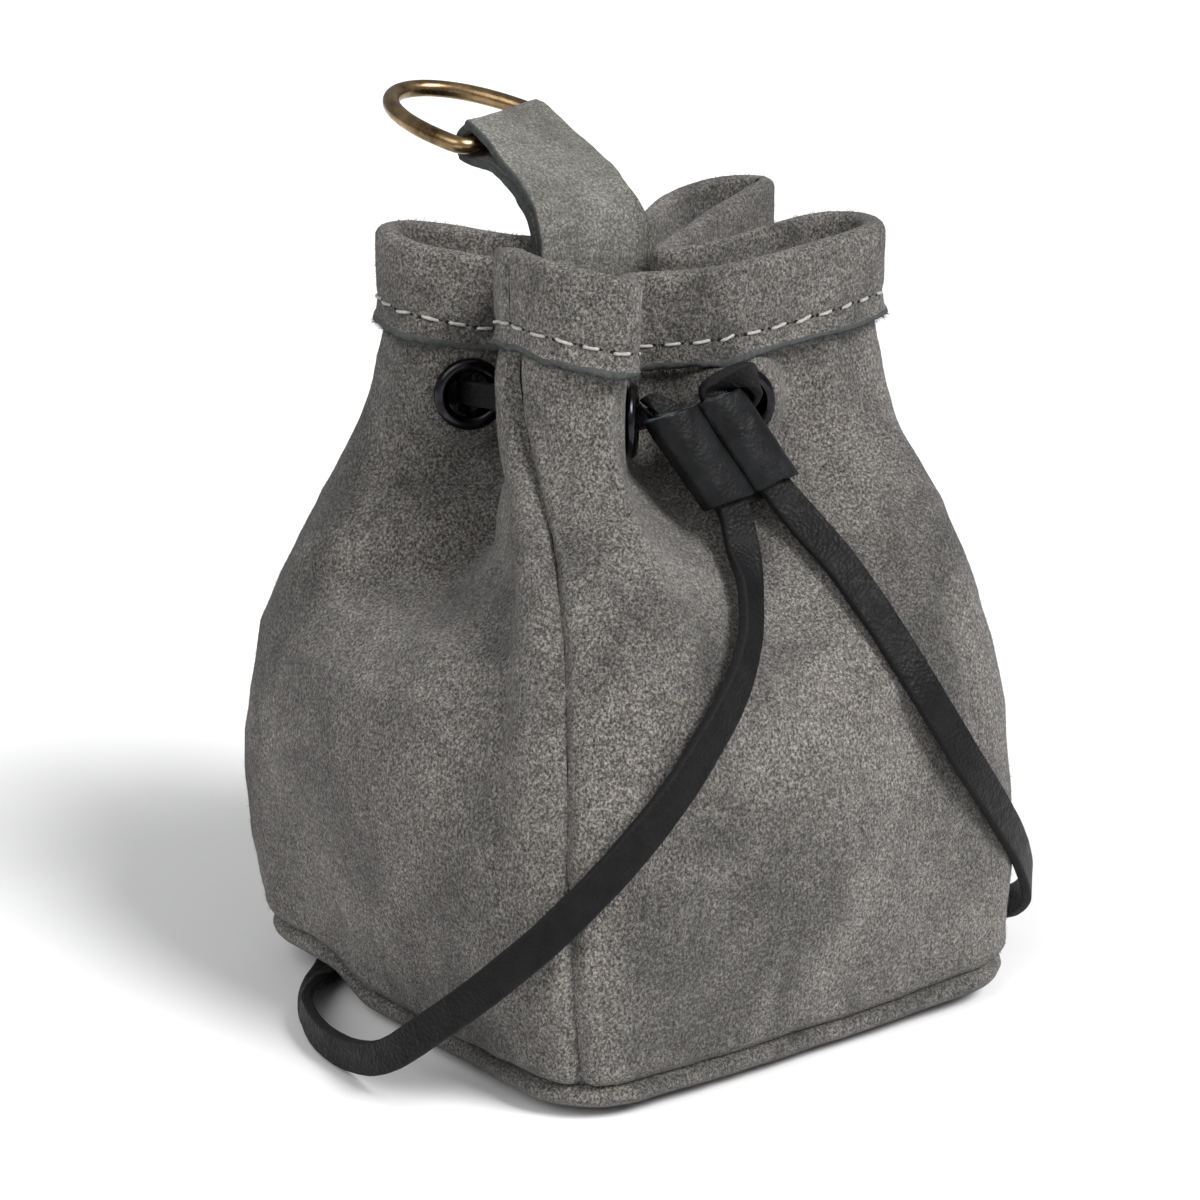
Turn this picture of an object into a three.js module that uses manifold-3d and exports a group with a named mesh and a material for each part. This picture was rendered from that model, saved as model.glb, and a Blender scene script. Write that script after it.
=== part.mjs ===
import * as THREE from 'three';
import Module from 'manifold-3d';

// Gathered suede belt pouch. Millimetres, +Z up, the origin on the floor under the middle of the base.
// The front face, which carries the slider, looks along -Y.

// Pouch height, from the floor to the top of the hem at the four gathered tips.
const POUCH_HEIGHT = 115;
// Half the side of the square base.
const BASE_HALF_SIDE = 43.6;
// Corner radius of the base.
const BASE_CORNER_RADIUS = 12;
// How far the gathered neck reaches from the middle.
const NECK_REACH = 40;
// Thickness of the suede wall.
const WALL = 1.8;
// Height of the seam that joins the base to the walls.
const BASE_SEAM_HEIGHT = 4.8;
// How far the base curls in before it lies flat on the floor.
const BASE_CURL = 9;
// Height of the folded hem, and the thickness of its outer layer.
const HEM_HEIGHT = 14;
const HEM_LAYER = 1.4;
// Air between two pieces that touch.
const GAP = 0.3;
// How far below the hem the neck is gathered, and the height there, where the eyelets sit.
const CORD_BELOW_HEM = 9.3;
const CORD_HEIGHT = POUCH_HEIGHT - HEM_HEIGHT - CORD_BELOW_HEM;
// Columns of the wall mesh between two marks of the outline.
const COLUMNS = 8;

// Eyelet: flange, hole and barrel.
const EYELET_FLANGE_RADIUS = 5.4;
const EYELET_HOLE_RADIUS = 3.3;
const EYELET_BARREL_RADIUS = 3.9;
const EYELET_FLANGE_HEIGHT = 1.1;
const EYELET_WASHER_HEIGHT = 0.8;
const EYELET_SIDES = 12;
// Hole punched in the wall for an eyelet.
const PUNCH_RADIUS = EYELET_BARREL_RADIUS + GAP;
// How far the punch reaches past the wall on each side.
const PUNCH_MARGIN = 0.8;

// Leather thong: its full width where it hangs free, its bunched width at the neck, and its thickness.
const THONG_WIDTH = 5;
const THONG_NECK_WIDTH = 3.6;
const THONG_THICKNESS = 1.6;

// Slider: two tubes side by side, folded from one strip of leather.
const SLIDER_LENGTH = 15;
const SLIDER_SKIN = 1.0;
const SLIDER_PITCH = 8.2;
const SLIDER_SLOT_WIDTH = 6.2;
const SLIDER_SLOT_THICKNESS = 2.6;

// Ring and strap.
const RING_WIRE = 2.6;
const RING_INNER_WIDTH = 19.4;
const RING_DEPTH = 22.6;
// Bend of the ring at the ends of its bar.
const RING_CORNER = 2.2;
// Height of the ring's bar above the pouch, and the play of the bar in its strap.
const BAR_RISE = 10.35;
const BAR_CLEARANCE = 0.5;
const STRAP_WIDTH = 18.2;
const STRAP_THICKNESS = 1.4;

// Plan of the gathered neck in shares of its reach, counter-clockwise seen from above. V marks are the
// valleys at the middle of a face, and R, B, L and F are the tips at the right, back, left and front
// corners. The hem is shifted from the gathered plan by rimX and rimY.
const NECK_PLAN = [
  { x: -0.15, y: -0.205, rimX: 0, rimY: 0, mark: 'V1' },
  { x: 0.0875, y: -0.34, rimX: 0, rimY: 0 },
  { x: 0.425, y: -0.395, rimX: 0, rimY: 0 },
  { x: 0.725, y: -0.395, rimX: -0.015, rimY: 0.005 },
  { x: 0.9, y: -0.35, rimX: -0.03, rimY: 0.01 },
  { x: 0.9575, y: -0.2, rimX: -0.035, rimY: 0.005, mark: 'R' },
  { x: 0.85, y: -0.065, rimX: -0.02, rimY: -0.005 },
  { x: 0.6, y: -0.04, rimX: 0, rimY: 0 },
  { x: 0.35, y: -0.04, rimX: 0, rimY: 0 },
  { x: 0.1625, y: 0.02, rimX: 0, rimY: 0, mark: 'V2' },
  { x: 0.3, y: 0.13, rimX: 0, rimY: 0 },
  { x: 0.55, y: 0.25, rimX: 0, rimY: 0 },
  { x: 0.8, y: 0.345, rimX: 0, rimY: 0 },
  { x: 1.0125, y: 0.475, rimX: 0, rimY: 0, mark: 'B' },
  { x: 0.9125, y: 0.625, rimX: 0, rimY: 0 },
  { x: 0.65, y: 0.6125, rimX: 0, rimY: 0 },
  { x: 0.375, y: 0.4625, rimX: 0, rimY: 0 },
  { x: 0.0875, y: 0.3875, rimX: 0, rimY: 0, mark: 'V3' },
  { x: -0.175, y: 0.4625, rimX: 0, rimY: 0 },
  { x: -0.3625, y: 0.6625, rimX: 0, rimY: 0 },
  { x: -0.5125, y: 0.77, rimX: 0.0175, rimY: -0.025 },
  { x: -0.675, y: 0.6875, rimX: 0.035, rimY: -0.0275, mark: 'L' },
  { x: -0.7, y: 0.4625, rimX: 0.0325, rimY: -0.015 },
  { x: -0.5125, y: 0.3125, rimX: 0.01, rimY: 0 },
  { x: -0.2625, y: 0.2, rimX: 0, rimY: 0, mark: 'V4' },
  { x: -0.425, y: 0.095, rimX: 0, rimY: 0 },
  { x: -0.635, y: -0.03, rimX: 0.04, rimY: 0.01 },
  { x: -0.6575, y: -0.175, rimX: 0.01, rimY: 0, mark: 'F' },
  { x: -0.6375, y: -0.375, rimX: 0, rimY: 0 },
  { x: -0.515, y: -0.53, rimX: 0.05, rimY: -0.035 },
  { x: -0.425, y: -0.405, rimX: 0.045, rimY: -0.04 },
  { x: -0.295, y: -0.29, rimX: 0.02, rimY: -0.02 },
];

// The filled body by height: height in shares of the cord height, corner radius in shares of the base's,
// and growth of the half side, bulge of a face's middle and sideways lean in shares of the base's
// half side.
const BODY_ROWS = [
  { z: 0, grow: -0.0092, corner: 1.0833, bulge: 0, lean: 0 },
  { z: 0.0654, grow: 0, corner: 1, bulge: 0.0115, lean: 0 },
  { z: 0.2181, grow: 0.0321, corner: 1.0833, bulge: 0.0459, lean: -0.0183 },
  { z: 0.4144, grow: 0.0459, corner: 1.2917, bulge: 0.0917, lean: -0.0367 },
  { z: 0.5998, grow: 0.0321, corner: 1.4167, bulge: 0.1032, lean: -0.0321 },
  { z: 0.8179, grow: -0.0023, corner: 1.5, bulge: 0.0803, lean: 0 },
  { z: 1.0905, grow: -0.1514, corner: 1.5, bulge: 0, lean: 0 },
];
const LEAN_DIRECTION = { x: 0.8, y: -0.6 };

// Share of the gathered outline by height, in shares of the cord height, at the tips, at the valleys and
// at the deep left valley.
const GATHER_ROWS = [
  { z: 0.3272, tip: 0, valley: 0, left: 0 },
  { z: 0.4907, tip: 0.02, valley: 0.02, left: 0 },
  { z: 0.5998, tip: 0.08, valley: 0.09, left: 0.05 },
  { z: 0.6761, tip: 0.17, valley: 0.24, left: 0.2 },
  { z: 0.7415, tip: 0.28, valley: 0.4, left: 0.55 },
  { z: 0.807, tip: 0.42, valley: 0.58, left: 0.82 },
  { z: 0.8724, tip: 0.6, valley: 0.76, left: 0.93 },
  { z: 0.9378, tip: 0.79, valley: 0.92, left: 0.98 },
  { z: 1.0033, tip: 0.94, valley: 1, left: 1 },
  { z: 1.0578, tip: 1, valley: 1, left: 1 },
];

// Marks in order round the outline, with how far the rim rises above or drops below the pouch height, in
// shares of the hem's height, and how far the base is lifted there, in shares of its seam's height.
const MARKS = [
  { name: 'V1', rim: -0.2857, lift: 0 },
  { name: 'R', rim: 0, lift: 0.1481 },
  { name: 'V2', rim: -0.2143, lift: 0 },
  { name: 'B', rim: 0.1071, lift: 0.1111 },
  { name: 'V3', rim: -0.2143, lift: 0 },
  { name: 'L', rim: 0, lift: 0 },
  { name: 'V4', rim: -0.2857, lift: 0 },
  { name: 'F', rim: 0.1071, lift: 0.0741 },
];
// The rim's rise and drop fade out below this height, over this distance.
const RIM_FADE_FROM = CORD_HEIGHT * 0.654;
const RIM_FADE_OVER = CORD_HEIGHT * 0.436;
// The lift of the base fades out over this height.
const LIFT_FADE_OVER = 25;
// The base's left corner is raised clear of the thong that runs under it: how far, from which distance
// along its diagonal, and over what distance.
const CORNER_LIFT = 3.2;
const CORNER_LIFT_FROM = BASE_HALF_SIDE * 0.826;
const CORNER_LIFT_OVER = 9;

const COUNT = MARKS.length * COLUMNS;

function smooth(t) {
  const c = Math.max(0, Math.min(1, t));
  return c * c * (3 - 2 * c);
}

// A row of a height table, interpolated.
function rowAt(rows, z) {
  if (z <= rows[0].z) return rows[0];
  for (let i = 1; i < rows.length; i += 1) {
    if (z <= rows[i].z) {
      const t = (z - rows[i - 1].z) / (rows[i].z - rows[i - 1].z);
      const out = {};
      for (const key of Object.keys(rows[i])) {
        out[key] = rows[i - 1][key] + (rows[i][key] - rows[i - 1][key]) * t;
      }
      return out;
    }
  }
  return rows[rows.length - 1];
}

// Points evenly spaced along a line, its last point left out.
function spaced(line, count) {
  const run = [0];
  for (let i = 1; i < line.length; i += 1) run.push(run[i - 1] + line[i].distanceTo(line[i - 1]));
  const out = [];
  let j = 0;
  for (let k = 0; k < count; k += 1) {
    const s = (run[run.length - 1] * k) / count;
    while (j < run.length - 2 && run[j + 1] < s) j += 1;
    out.push(line[j].clone().lerp(line[j + 1], (s - run[j]) / Math.max(1e-9, run[j + 1] - run[j])));
  }
  return out;
}

// The gathered outline, with COLUMNS points from each mark to the next, at the cord or at the rim.
function neckOutline(atRim) {
  const steps = 8;
  const n = NECK_PLAN.length;
  const plan = NECK_PLAN.map((row) => ({
    x: (row.x + atRim * row.rimX) * NECK_REACH,
    y: (row.y + atRim * row.rimY) * NECK_REACH,
    mark: row.mark,
  }));
  const fine = [];
  const starts = [];
  for (let i = 0; i < n; i += 1) {
    const [a, b, c, d] = [i - 1, i, i + 1, i + 2].map((k) => plan[(k + n) % n]);
    if (b.mark) starts.push(fine.length);
    for (let k = 0; k < steps; k += 1) {
      const t = k / steps;
      const blend = (p, q, r, s) =>
        0.5 * (2 * q + (r - p) * t + (2 * p - 5 * q + 4 * r - s) * t * t +
          (3 * q - p - 3 * r + s) * t * t * t);
      fine.push(new THREE.Vector2(blend(a.x, b.x, c.x, d.x), blend(a.y, b.y, c.y, d.y)));
    }
  }
  starts.push(fine.length);
  const out = [];
  for (let m = 0; m < MARKS.length; m += 1) {
    const part = fine.slice(starts[m], starts[m + 1]);
    part.push(fine[starts[m + 1] % fine.length]);
    out.push(...spaced(part, COLUMNS));
  }
  return out;
}

// The outline of the filled body: a rounded square whose faces bulge.
function bodyOutline(z) {
  const row = rowAt(BODY_ROWS, z / CORD_HEIGHT);
  const half = BASE_HALF_SIDE * (1 + row.grow);
  const corner = BASE_CORNER_RADIUS * row.corner;
  const straight = half - corner;
  const bulge = BASE_HALF_SIDE * row.bulge;
  const quarter = [];
  const swell = (along) => bulge * Math.cos((Math.min(1, Math.abs(along) / half) * Math.PI) / 2) ** 2;
  for (let k = 0; k <= 20; k += 1) {
    const x = (straight * k) / 20;
    quarter.push(new THREE.Vector2(x, -half - swell(x)));
  }
  for (let k = 1; k <= 12; k += 1) {
    const t = ((Math.PI / 2) * k) / 12;
    const x = straight + corner * Math.sin(t);
    const y = -straight - corner * Math.cos(t);
    quarter.push(new THREE.Vector2(x + swell(y), y));
  }
  for (let k = 1; k <= 20; k += 1) {
    const y = -straight + (straight * k) / 20;
    quarter.push(new THREE.Vector2(half + swell(y), y));
  }
  const middle = 26;
  const halves = [
    ...spaced(quarter.slice(0, middle + 1), COLUMNS),
    ...spaced(quarter.slice(middle), COLUMNS),
  ];
  const lean = new THREE.Vector2(LEAN_DIRECTION.x, LEAN_DIRECTION.y).multiplyScalar(
    BASE_HALF_SIDE * row.lean,
  );
  const out = [];
  for (let q = 0; q < 4; q += 1) {
    for (const p of halves) out.push(p.clone().rotateAround(new THREE.Vector2(), (q * Math.PI) / 2).add(lean));
  }
  return out;
}

const NECK = neckOutline(0);
const RIM = neckOutline(1);

// The outer face of the wall at a height, blended from the body to the gathered neck.
function outline(z) {
  const body = bodyOutline(z);
  const row = rowAt(GATHER_ROWS, z / CORD_HEIGHT);
  const toRim = smooth((z - CORD_HEIGHT - 3) / CORD_BELOW_HEM);
  return body.map((p, i) => {
    const at = i / COLUMNS;
    const tipness = 0.5 - 0.5 * Math.cos(Math.PI * (at % 2));
    const leftness = smooth(1.6 * Math.max(0, 1 - Math.abs(at - 6)));
    const valley = row.valley + (row.left - row.valley) * leftness;
    const neck = NECK[i].clone().lerp(RIM[i], toRim);
    return p.clone().lerp(neck, valley + (row.tip - valley) * tipness);
  });
}

// A value of the marks, blended smoothly from mark to mark, at a column.
function markValue(key, column) {
  const at = (((column % COUNT) + COUNT) % COUNT) / COLUMNS;
  const a = MARKS[Math.floor(at) % MARKS.length];
  const b = MARKS[(Math.floor(at) + 1) % MARKS.length];
  return a[key] + (b[key] - a[key]) * smooth(at % 1);
}

// Lift of the base's left corner at a place of the plan.
function cornerLift(x, y) {
  return CORNER_LIFT * smooth(((y - x) / Math.SQRT2 - CORNER_LIFT_FROM) / CORNER_LIFT_OVER);
}

// Outline moved outwards by a distance, with each point's real height.
function ring(z, outwards) {
  const plan = outline(z);
  const n = plan.length;
  return plan.map((p, i) => {
    const along = plan[(i + 1) % n].clone().sub(plan[(i - 1 + n) % n]).normalize();
    const rimShare = Math.max(0, Math.min(1, (z - RIM_FADE_FROM) / RIM_FADE_OVER));
    const rim = HEM_HEIGHT * markValue('rim', i) * rimShare;
    const raised = BASE_SEAM_HEIGHT * markValue('lift', i) + cornerLift(p.x, p.y);
    const lift = raised * Math.max(0, 1 - Math.max(0, z - BASE_SEAM_HEIGHT) / LIFT_FADE_OVER);
    return new THREE.Vector3(p.x + along.y * outwards, p.y - along.x * outwards, z + rim + lift);
  });
}

// Closed body from rings of equal length: profile rings run round the section, columns run along it.
function shellFromRings(rings, loopsRound) {
  const rows = rings.length;
  const columns = rings[0].length;
  const position = [];
  for (const r of rings) for (const p of r) position.push(p.x, p.y, p.z);
  const index = [];
  const id = (r, c) => (r % rows) * columns + (c % columns);
  const spans = loopsRound ? columns : columns - 1;
  for (let r = 0; r < rows; r += 1) {
    for (let c = 0; c < spans; c += 1) {
      index.push(id(r, c), id(r, c + 1), id(r + 1, c + 1));
      index.push(id(r, c), id(r + 1, c + 1), id(r + 1, c));
    }
  }
  const geometry = new THREE.BufferGeometry();
  geometry.setAttribute('position', new THREE.Float32BufferAttribute(position, 3));
  geometry.setIndex(index);
  return geometry;
}

// Section of the wall, from its bottom edge up the outside, over the hem and down the inside. The rows
// below the hem are at shares of the cord height.
const HEM_EDGE = POUCH_HEIGHT - HEM_HEIGHT;
const WALL_ROWS = [0.1309, 0.2399, 0.3708, 0.5016, 0.5998, 0.6761, 0.7416, 0.807, 0.8724, 0.9378, 1.0142]
  .map((share) => share * CORD_HEIGHT);
const BOTTOM_EDGE = BASE_SEAM_HEIGHT + GAP;
const WALL_SECTION = [
  ...[BOTTOM_EDGE, ...WALL_ROWS].map((z) => ({ z, out: 0 })),
  { z: HEM_EDGE, out: 0 },
  { z: HEM_EDGE + 0.2, out: HEM_LAYER },
  { z: HEM_EDGE + HEM_HEIGHT * 0.43, out: HEM_LAYER },
  { z: POUCH_HEIGHT - WALL * 0.889, out: HEM_LAYER * 0.82 },
  { z: POUCH_HEIGHT - WALL * 0.167, out: HEM_LAYER * 0.2 },
  { z: POUCH_HEIGHT, out: -WALL * 0.111 },
  { z: POUCH_HEIGHT - WALL * 0.278, out: -WALL * 0.722 },
  { z: POUCH_HEIGHT - WALL * 1.11, out: -WALL },
  ...[HEM_EDGE + HEM_HEIGHT * 0.214, ...WALL_ROWS.slice().reverse(), BOTTOM_EDGE]
    .map((z) => ({ z, out: -WALL })),
];

// A wall panel from one corner seam to the other. Its end faces stop half a gap from the seam.
function panel(fromMark, toMark) {
  const first = fromMark * COLUMNS;
  const last = toMark * COLUMNS;
  const rings = WALL_SECTION.map(({ z, out }) => {
    const full = ring(z, out);
    const line = [];
    for (let c = first; c <= last; c += 1) line.push(full[c % COUNT].clone());
    const n = line.length;
    const shift = (p, q) => p.lerp(q, GAP / 2 / Math.max(p.distanceTo(q), 0.5));
    shift(line[0], line[1].clone());
    shift(line[n - 1], line[n - 2].clone());
    return line;
  });
  const geometry = shellFromRings(rings, false);
  const index = Array.from(geometry.getIndex().array);
  const rows = rings.length;
  const columns = rings[0].length;
  // The end faces are strips between the outer and the inner rows.
  const flat = WALL_SECTION.map((row) => new THREE.Vector2(row.out, row.z));
  const turnOf = (points) => Math.sign(THREE.ShapeUtils.area(points));
  const whole = turnOf(flat);
  for (const [c, way] of [[0, 1], [columns - 1, -1]]) {
    const loop = WALL_SECTION.map((row, r) => r * columns + c);
    for (const t of THREE.ShapeUtils.triangulateShape(flat, [])) {
      const [a, b, d] = t.map((k) => loop[k]);
      if (turnOf(t.map((k) => flat[k])) === whole * way) index.push(a, b, d);
      else index.push(a, d, b);
    }
  }
  geometry.setIndex(index);
  return geometry;
}

// The base: a shallow dish that curls up to the seam and lies flat inside the curl.
function basePanel() {
  const at = (height, inwards) => ({ z: BASE_SEAM_HEIGHT * height, out: -BASE_CURL * inwards });
  const section = [
    at(1, 0),
    at(0.778, -0.044),
    at(0.407, 0.033),
    at(0.093, 0.333),
    at(0.022, 0.622),
    at(0, 1),
  ];
  const inside = [
    { z: WALL, out: -BASE_CURL },
    { z: WALL * 1.33, out: -BASE_CURL * 0.511 },
    { z: BASE_SEAM_HEIGHT, out: -WALL },
  ];
  const seam = ring(BASE_SEAM_HEIGHT, 0);
  const place = ({ z, out }) => {
    const flatRing = ring(0, out);
    return flatRing.map((p, i) => {
      const raised = seam[i].z - BASE_SEAM_HEIGHT - cornerLift(seam[i].x, seam[i].y);
      const lift = raised * (1 - smooth(-Math.min(0, out) / BASE_CURL)) + cornerLift(p.x, p.y);
      return new THREE.Vector3(p.x, p.y, z + lift);
    });
  };
  // The flat middle, which the lift doesn't reach.
  const flatShare = 0.7;
  const middle = (row) => row.map((p) => new THREE.Vector3(p.x * flatShare, p.y * flatShare, 0));
  const outside = section.map(place);
  outside.push(middle(outside[outside.length - 1]));
  const top = inside.map(place);
  const all = [...outside, ...top];
  const rows = all.length;
  const position = [];
  for (const r of all) for (const p of r) position.push(p.x, p.y, p.z);
  const id = (r, c) => r * COUNT + (c % COUNT);
  const index = [];
  for (let r = 0; r < rows - 1; r += 1) {
    if (r === outside.length - 1) continue;
    for (let c = 0; c < COUNT; c += 1) {
      index.push(id(r, c), id(r + 1, c + 1), id(r, c + 1));
      index.push(id(r, c), id(r + 1, c), id(r + 1, c + 1));
    }
  }
  // Edge under the seam.
  for (let c = 0; c < COUNT; c += 1) {
    index.push(id(rows - 1, c), id(0, c + 1), id(rows - 1, c + 1));
    index.push(id(rows - 1, c), id(0, c), id(0, c + 1));
  }
  const under = position.length / 3;
  position.push(0, 0, 0);
  position.push(0, 0, WALL);
  for (let c = 0; c < COUNT; c += 1) {
    index.push(under, id(outside.length - 1, c + 1), id(outside.length - 1, c));
    index.push(under + 1, id(outside.length, c), id(outside.length, c + 1));
  }
  const geometry = new THREE.BufferGeometry();
  geometry.setAttribute('position', new THREE.Float32BufferAttribute(position, 3));
  geometry.setIndex(index);
  return geometry;
}

// Point of the wall's outer face at a place along the marks and a height, with its outward direction.
function onWall(at, z) {
  const plan = outline(z);
  const x = (at * COLUMNS) % COUNT;
  const i = Math.floor(x);
  const p = plan[i].clone().lerp(plan[(i + 1) % COUNT], x - i);
  const along = plan[(i + 2) % COUNT].clone().sub(plan[(i - 1 + COUNT) % COUNT]).normalize();
  return { point: new THREE.Vector3(p.x, p.y, z), out: new THREE.Vector3(along.y, -along.x, 0) };
}

// How far the wall stands out from and in behind an eyelet's plane within its flange.
function wallSpread(seat) {
  let high = 0;
  let low = 0;
  const reach = EYELET_FLANGE_RADIUS + 0.6;
  for (let z = CORD_HEIGHT - reach; z <= CORD_HEIGHT + reach + 0.01; z += reach / 3) {
    const plan = outline(z);
    for (let i = 0; i < COUNT * 4; i += 1) {
      const k = Math.floor(i / 4);
      const p = plan[k].clone().lerp(plan[(k + 1) % COUNT], (i % 4) / 4);
      const d = new THREE.Vector3(p.x, p.y, z).sub(seat.point);
      const h = d.dot(seat.out);
      const sideways = Math.sqrt(Math.max(0, d.lengthSq() - h * h));
      if (sideways > EYELET_FLANGE_RADIUS) continue;
      if (Math.abs(h) > 4) continue;
      high = Math.max(high, h);
      low = Math.min(low, h);
    }
  }
  return { high, low };
}

// Eyelets round the neck, by their place along the marks. They are listed in the order that the
// thong passes through them, and turn says whether it goes in or comes out.
const EYELETS = [
  { name: 'eyelet_front_left', at: 7.72 },
  { name: 'eyelet_left_front', at: 6.36 },
  { name: 'eyelet_left_back', at: 5.64 },
  { name: 'eyelet_back_left', at: 4.4 },
  { name: 'eyelet_back_right', at: 3.62 },
  { name: 'eyelet_right_back', at: 2.33 },
  { name: 'eyelet_right_front', at: 1.69 },
  { name: 'eyelet_front_right', at: 0.29 },
];
for (const e of EYELETS) {
  e.seat = onWall(e.at, CORD_HEIGHT);
  e.spread = wallSpread(e.seat);
}

// An eyelet: a rolled flange outside, a barrel through the wall and a washer inside.
function eyeletGeometry(spread) {
  const top = spread.high + GAP;
  const under = spread.low - WALL - GAP;
  const profile = [
    [EYELET_HOLE_RADIUS, top + 0.5],
    [EYELET_HOLE_RADIUS + 0.6, top + EYELET_FLANGE_HEIGHT],
    [EYELET_FLANGE_RADIUS - 0.6, top + EYELET_FLANGE_HEIGHT - 0.1],
    [EYELET_FLANGE_RADIUS, top],
    [EYELET_BARREL_RADIUS, top],
    [EYELET_BARREL_RADIUS, under],
    [EYELET_FLANGE_RADIUS - 0.3, under],
    [EYELET_FLANGE_RADIUS - 0.7, under - EYELET_WASHER_HEIGHT],
    [EYELET_HOLE_RADIUS, under - EYELET_WASHER_HEIGHT],
    [EYELET_HOLE_RADIUS, top + 0.5],
  ].map(([r, y]) => new THREE.Vector2(r, y));
  return new THREE.LatheGeometry(profile.reverse(), EYELET_SIDES);
}

// A path with chosen width directions, for flat thong and strap: a section swept along it keeps its
// x across the thickness and its y across the width.
class FlatPath extends THREE.CatmullRomCurve3 {
  constructor(points, widths) {
    super(points, false, 'catmullrom', 0.5);
    this.widths = widths;
  }

  computeFrenetFrames(segments) {
    const frames = { tangents: [], normals: [], binormals: [] };
    const last = this.widths.length - 1;
    for (let i = 0; i <= segments; i += 1) {
      const t = this.getUtoTmapping(i / segments);
      const tangent = this.getTangent(t).normalize();
      const k = Math.min(last - 1, Math.floor(t * last));
      const width = this.widths[k].clone().lerp(this.widths[k + 1], t * last - k);
      width.addScaledVector(tangent, -width.dot(tangent)).normalize();
      frames.tangents.push(tangent);
      frames.binormals.push(width);
      frames.normals.push(new THREE.Vector3().crossVectors(width, tangent).normalize());
    }
    return frames;
  }
}

function flatSection(width, thickness, edge) {
  const w = width / 2;
  const t = thickness / 2;
  return new THREE.Shape([
    new THREE.Vector2(-t, -w + edge),
    new THREE.Vector2(-t + edge, -w),
    new THREE.Vector2(t - edge, -w),
    new THREE.Vector2(t, -w + edge),
    new THREE.Vector2(t, w - edge),
    new THREE.Vector2(t - edge, w),
    new THREE.Vector2(-t + edge, w),
    new THREE.Vector2(-t, w - edge),
  ]);
}

function sweep(route, section, steps) {
  const path = new FlatPath(
    route.map((r) => new THREE.Vector3(...r.at)),
    route.map((r) => new THREE.Vector3(...r.width)),
  );
  path.arcLengthDivisions = 800;
  return new THREE.ExtrudeGeometry(section, { steps, bevelEnabled: false, extrudePath: path });
}

// A place near the neck: shares of its reach, and the height above the cord.
function nearNeck(x, y, above) {
  return [x * NECK_REACH, y * NECK_REACH, CORD_HEIGHT + above];
}

// Slider: the middle of its top edge, the way its tubes run and the way it is wide.
const SLIDER_TOP = new THREE.Vector3(...nearNeck(-0.1075, -0.4875, 1.7));
const SLIDER_DOWN = new THREE.Vector3(0.42, -0.36, -0.83).normalize();
const SLIDER_ACROSS = new THREE.Vector3(0.985, -0.04, 0.17).normalize();
const SLIDER_OUT = new THREE.Vector3().crossVectors(SLIDER_DOWN, SLIDER_ACROSS).normalize();

// Middle of a tube of the slider at a distance below its top edge.
function inTube(side, down) {
  return SLIDER_TOP.clone()
    .addScaledVector(SLIDER_ACROSS, (side * SLIDER_PITCH) / 2)
    .addScaledVector(SLIDER_DOWN, down);
}

function sliderGeometry() {
  const a = SLIDER_PITCH / 2;
  const w = SLIDER_SLOT_WIDTH / 2;
  const t = SLIDER_SLOT_THICKNESS / 2;
  const s = SLIDER_SKIN;
  const outer = new THREE.Shape([
    new THREE.Vector2(-a - w - s, -t * 0.4),
    new THREE.Vector2(-a - w, -t - s),
    new THREE.Vector2(a + w, -t - s),
    new THREE.Vector2(a + w + s, -t * 0.4),
    new THREE.Vector2(a + w + s, t * 0.4),
    new THREE.Vector2(a + w, t + s),
    new THREE.Vector2(a - w + s * 0.6, t + s),
    new THREE.Vector2(0, t + s * 0.1),
    new THREE.Vector2(-a + w - s * 0.6, t + s),
    new THREE.Vector2(-a - w, t + s),
    new THREE.Vector2(-a - w - s, t * 0.4),
  ]);
  for (const side of [-1, 1]) {
    const x = side * a;
    outer.holes.push(new THREE.Path([
      new THREE.Vector2(x - w, -t * 0.6),
      new THREE.Vector2(x - w + s * 0.6, -t),
      new THREE.Vector2(x + w - s * 0.6, -t),
      new THREE.Vector2(x + w, -t * 0.6),
      new THREE.Vector2(x + w, t * 0.6),
      new THREE.Vector2(x + w - s * 0.6, t),
      new THREE.Vector2(x - w + s * 0.6, t),
      new THREE.Vector2(x - w, t * 0.6),
    ].reverse()));
  }
  const geometry = new THREE.ExtrudeGeometry(outer, { depth: SLIDER_LENGTH, steps: 1, bevelEnabled: false });
  const frame = new THREE.Matrix4().makeBasis(SLIDER_ACROSS, SLIDER_OUT, SLIDER_DOWN);
  frame.setPosition(SLIDER_TOP);
  geometry.applyMatrix4(frame);
  return geometry;
}

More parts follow.
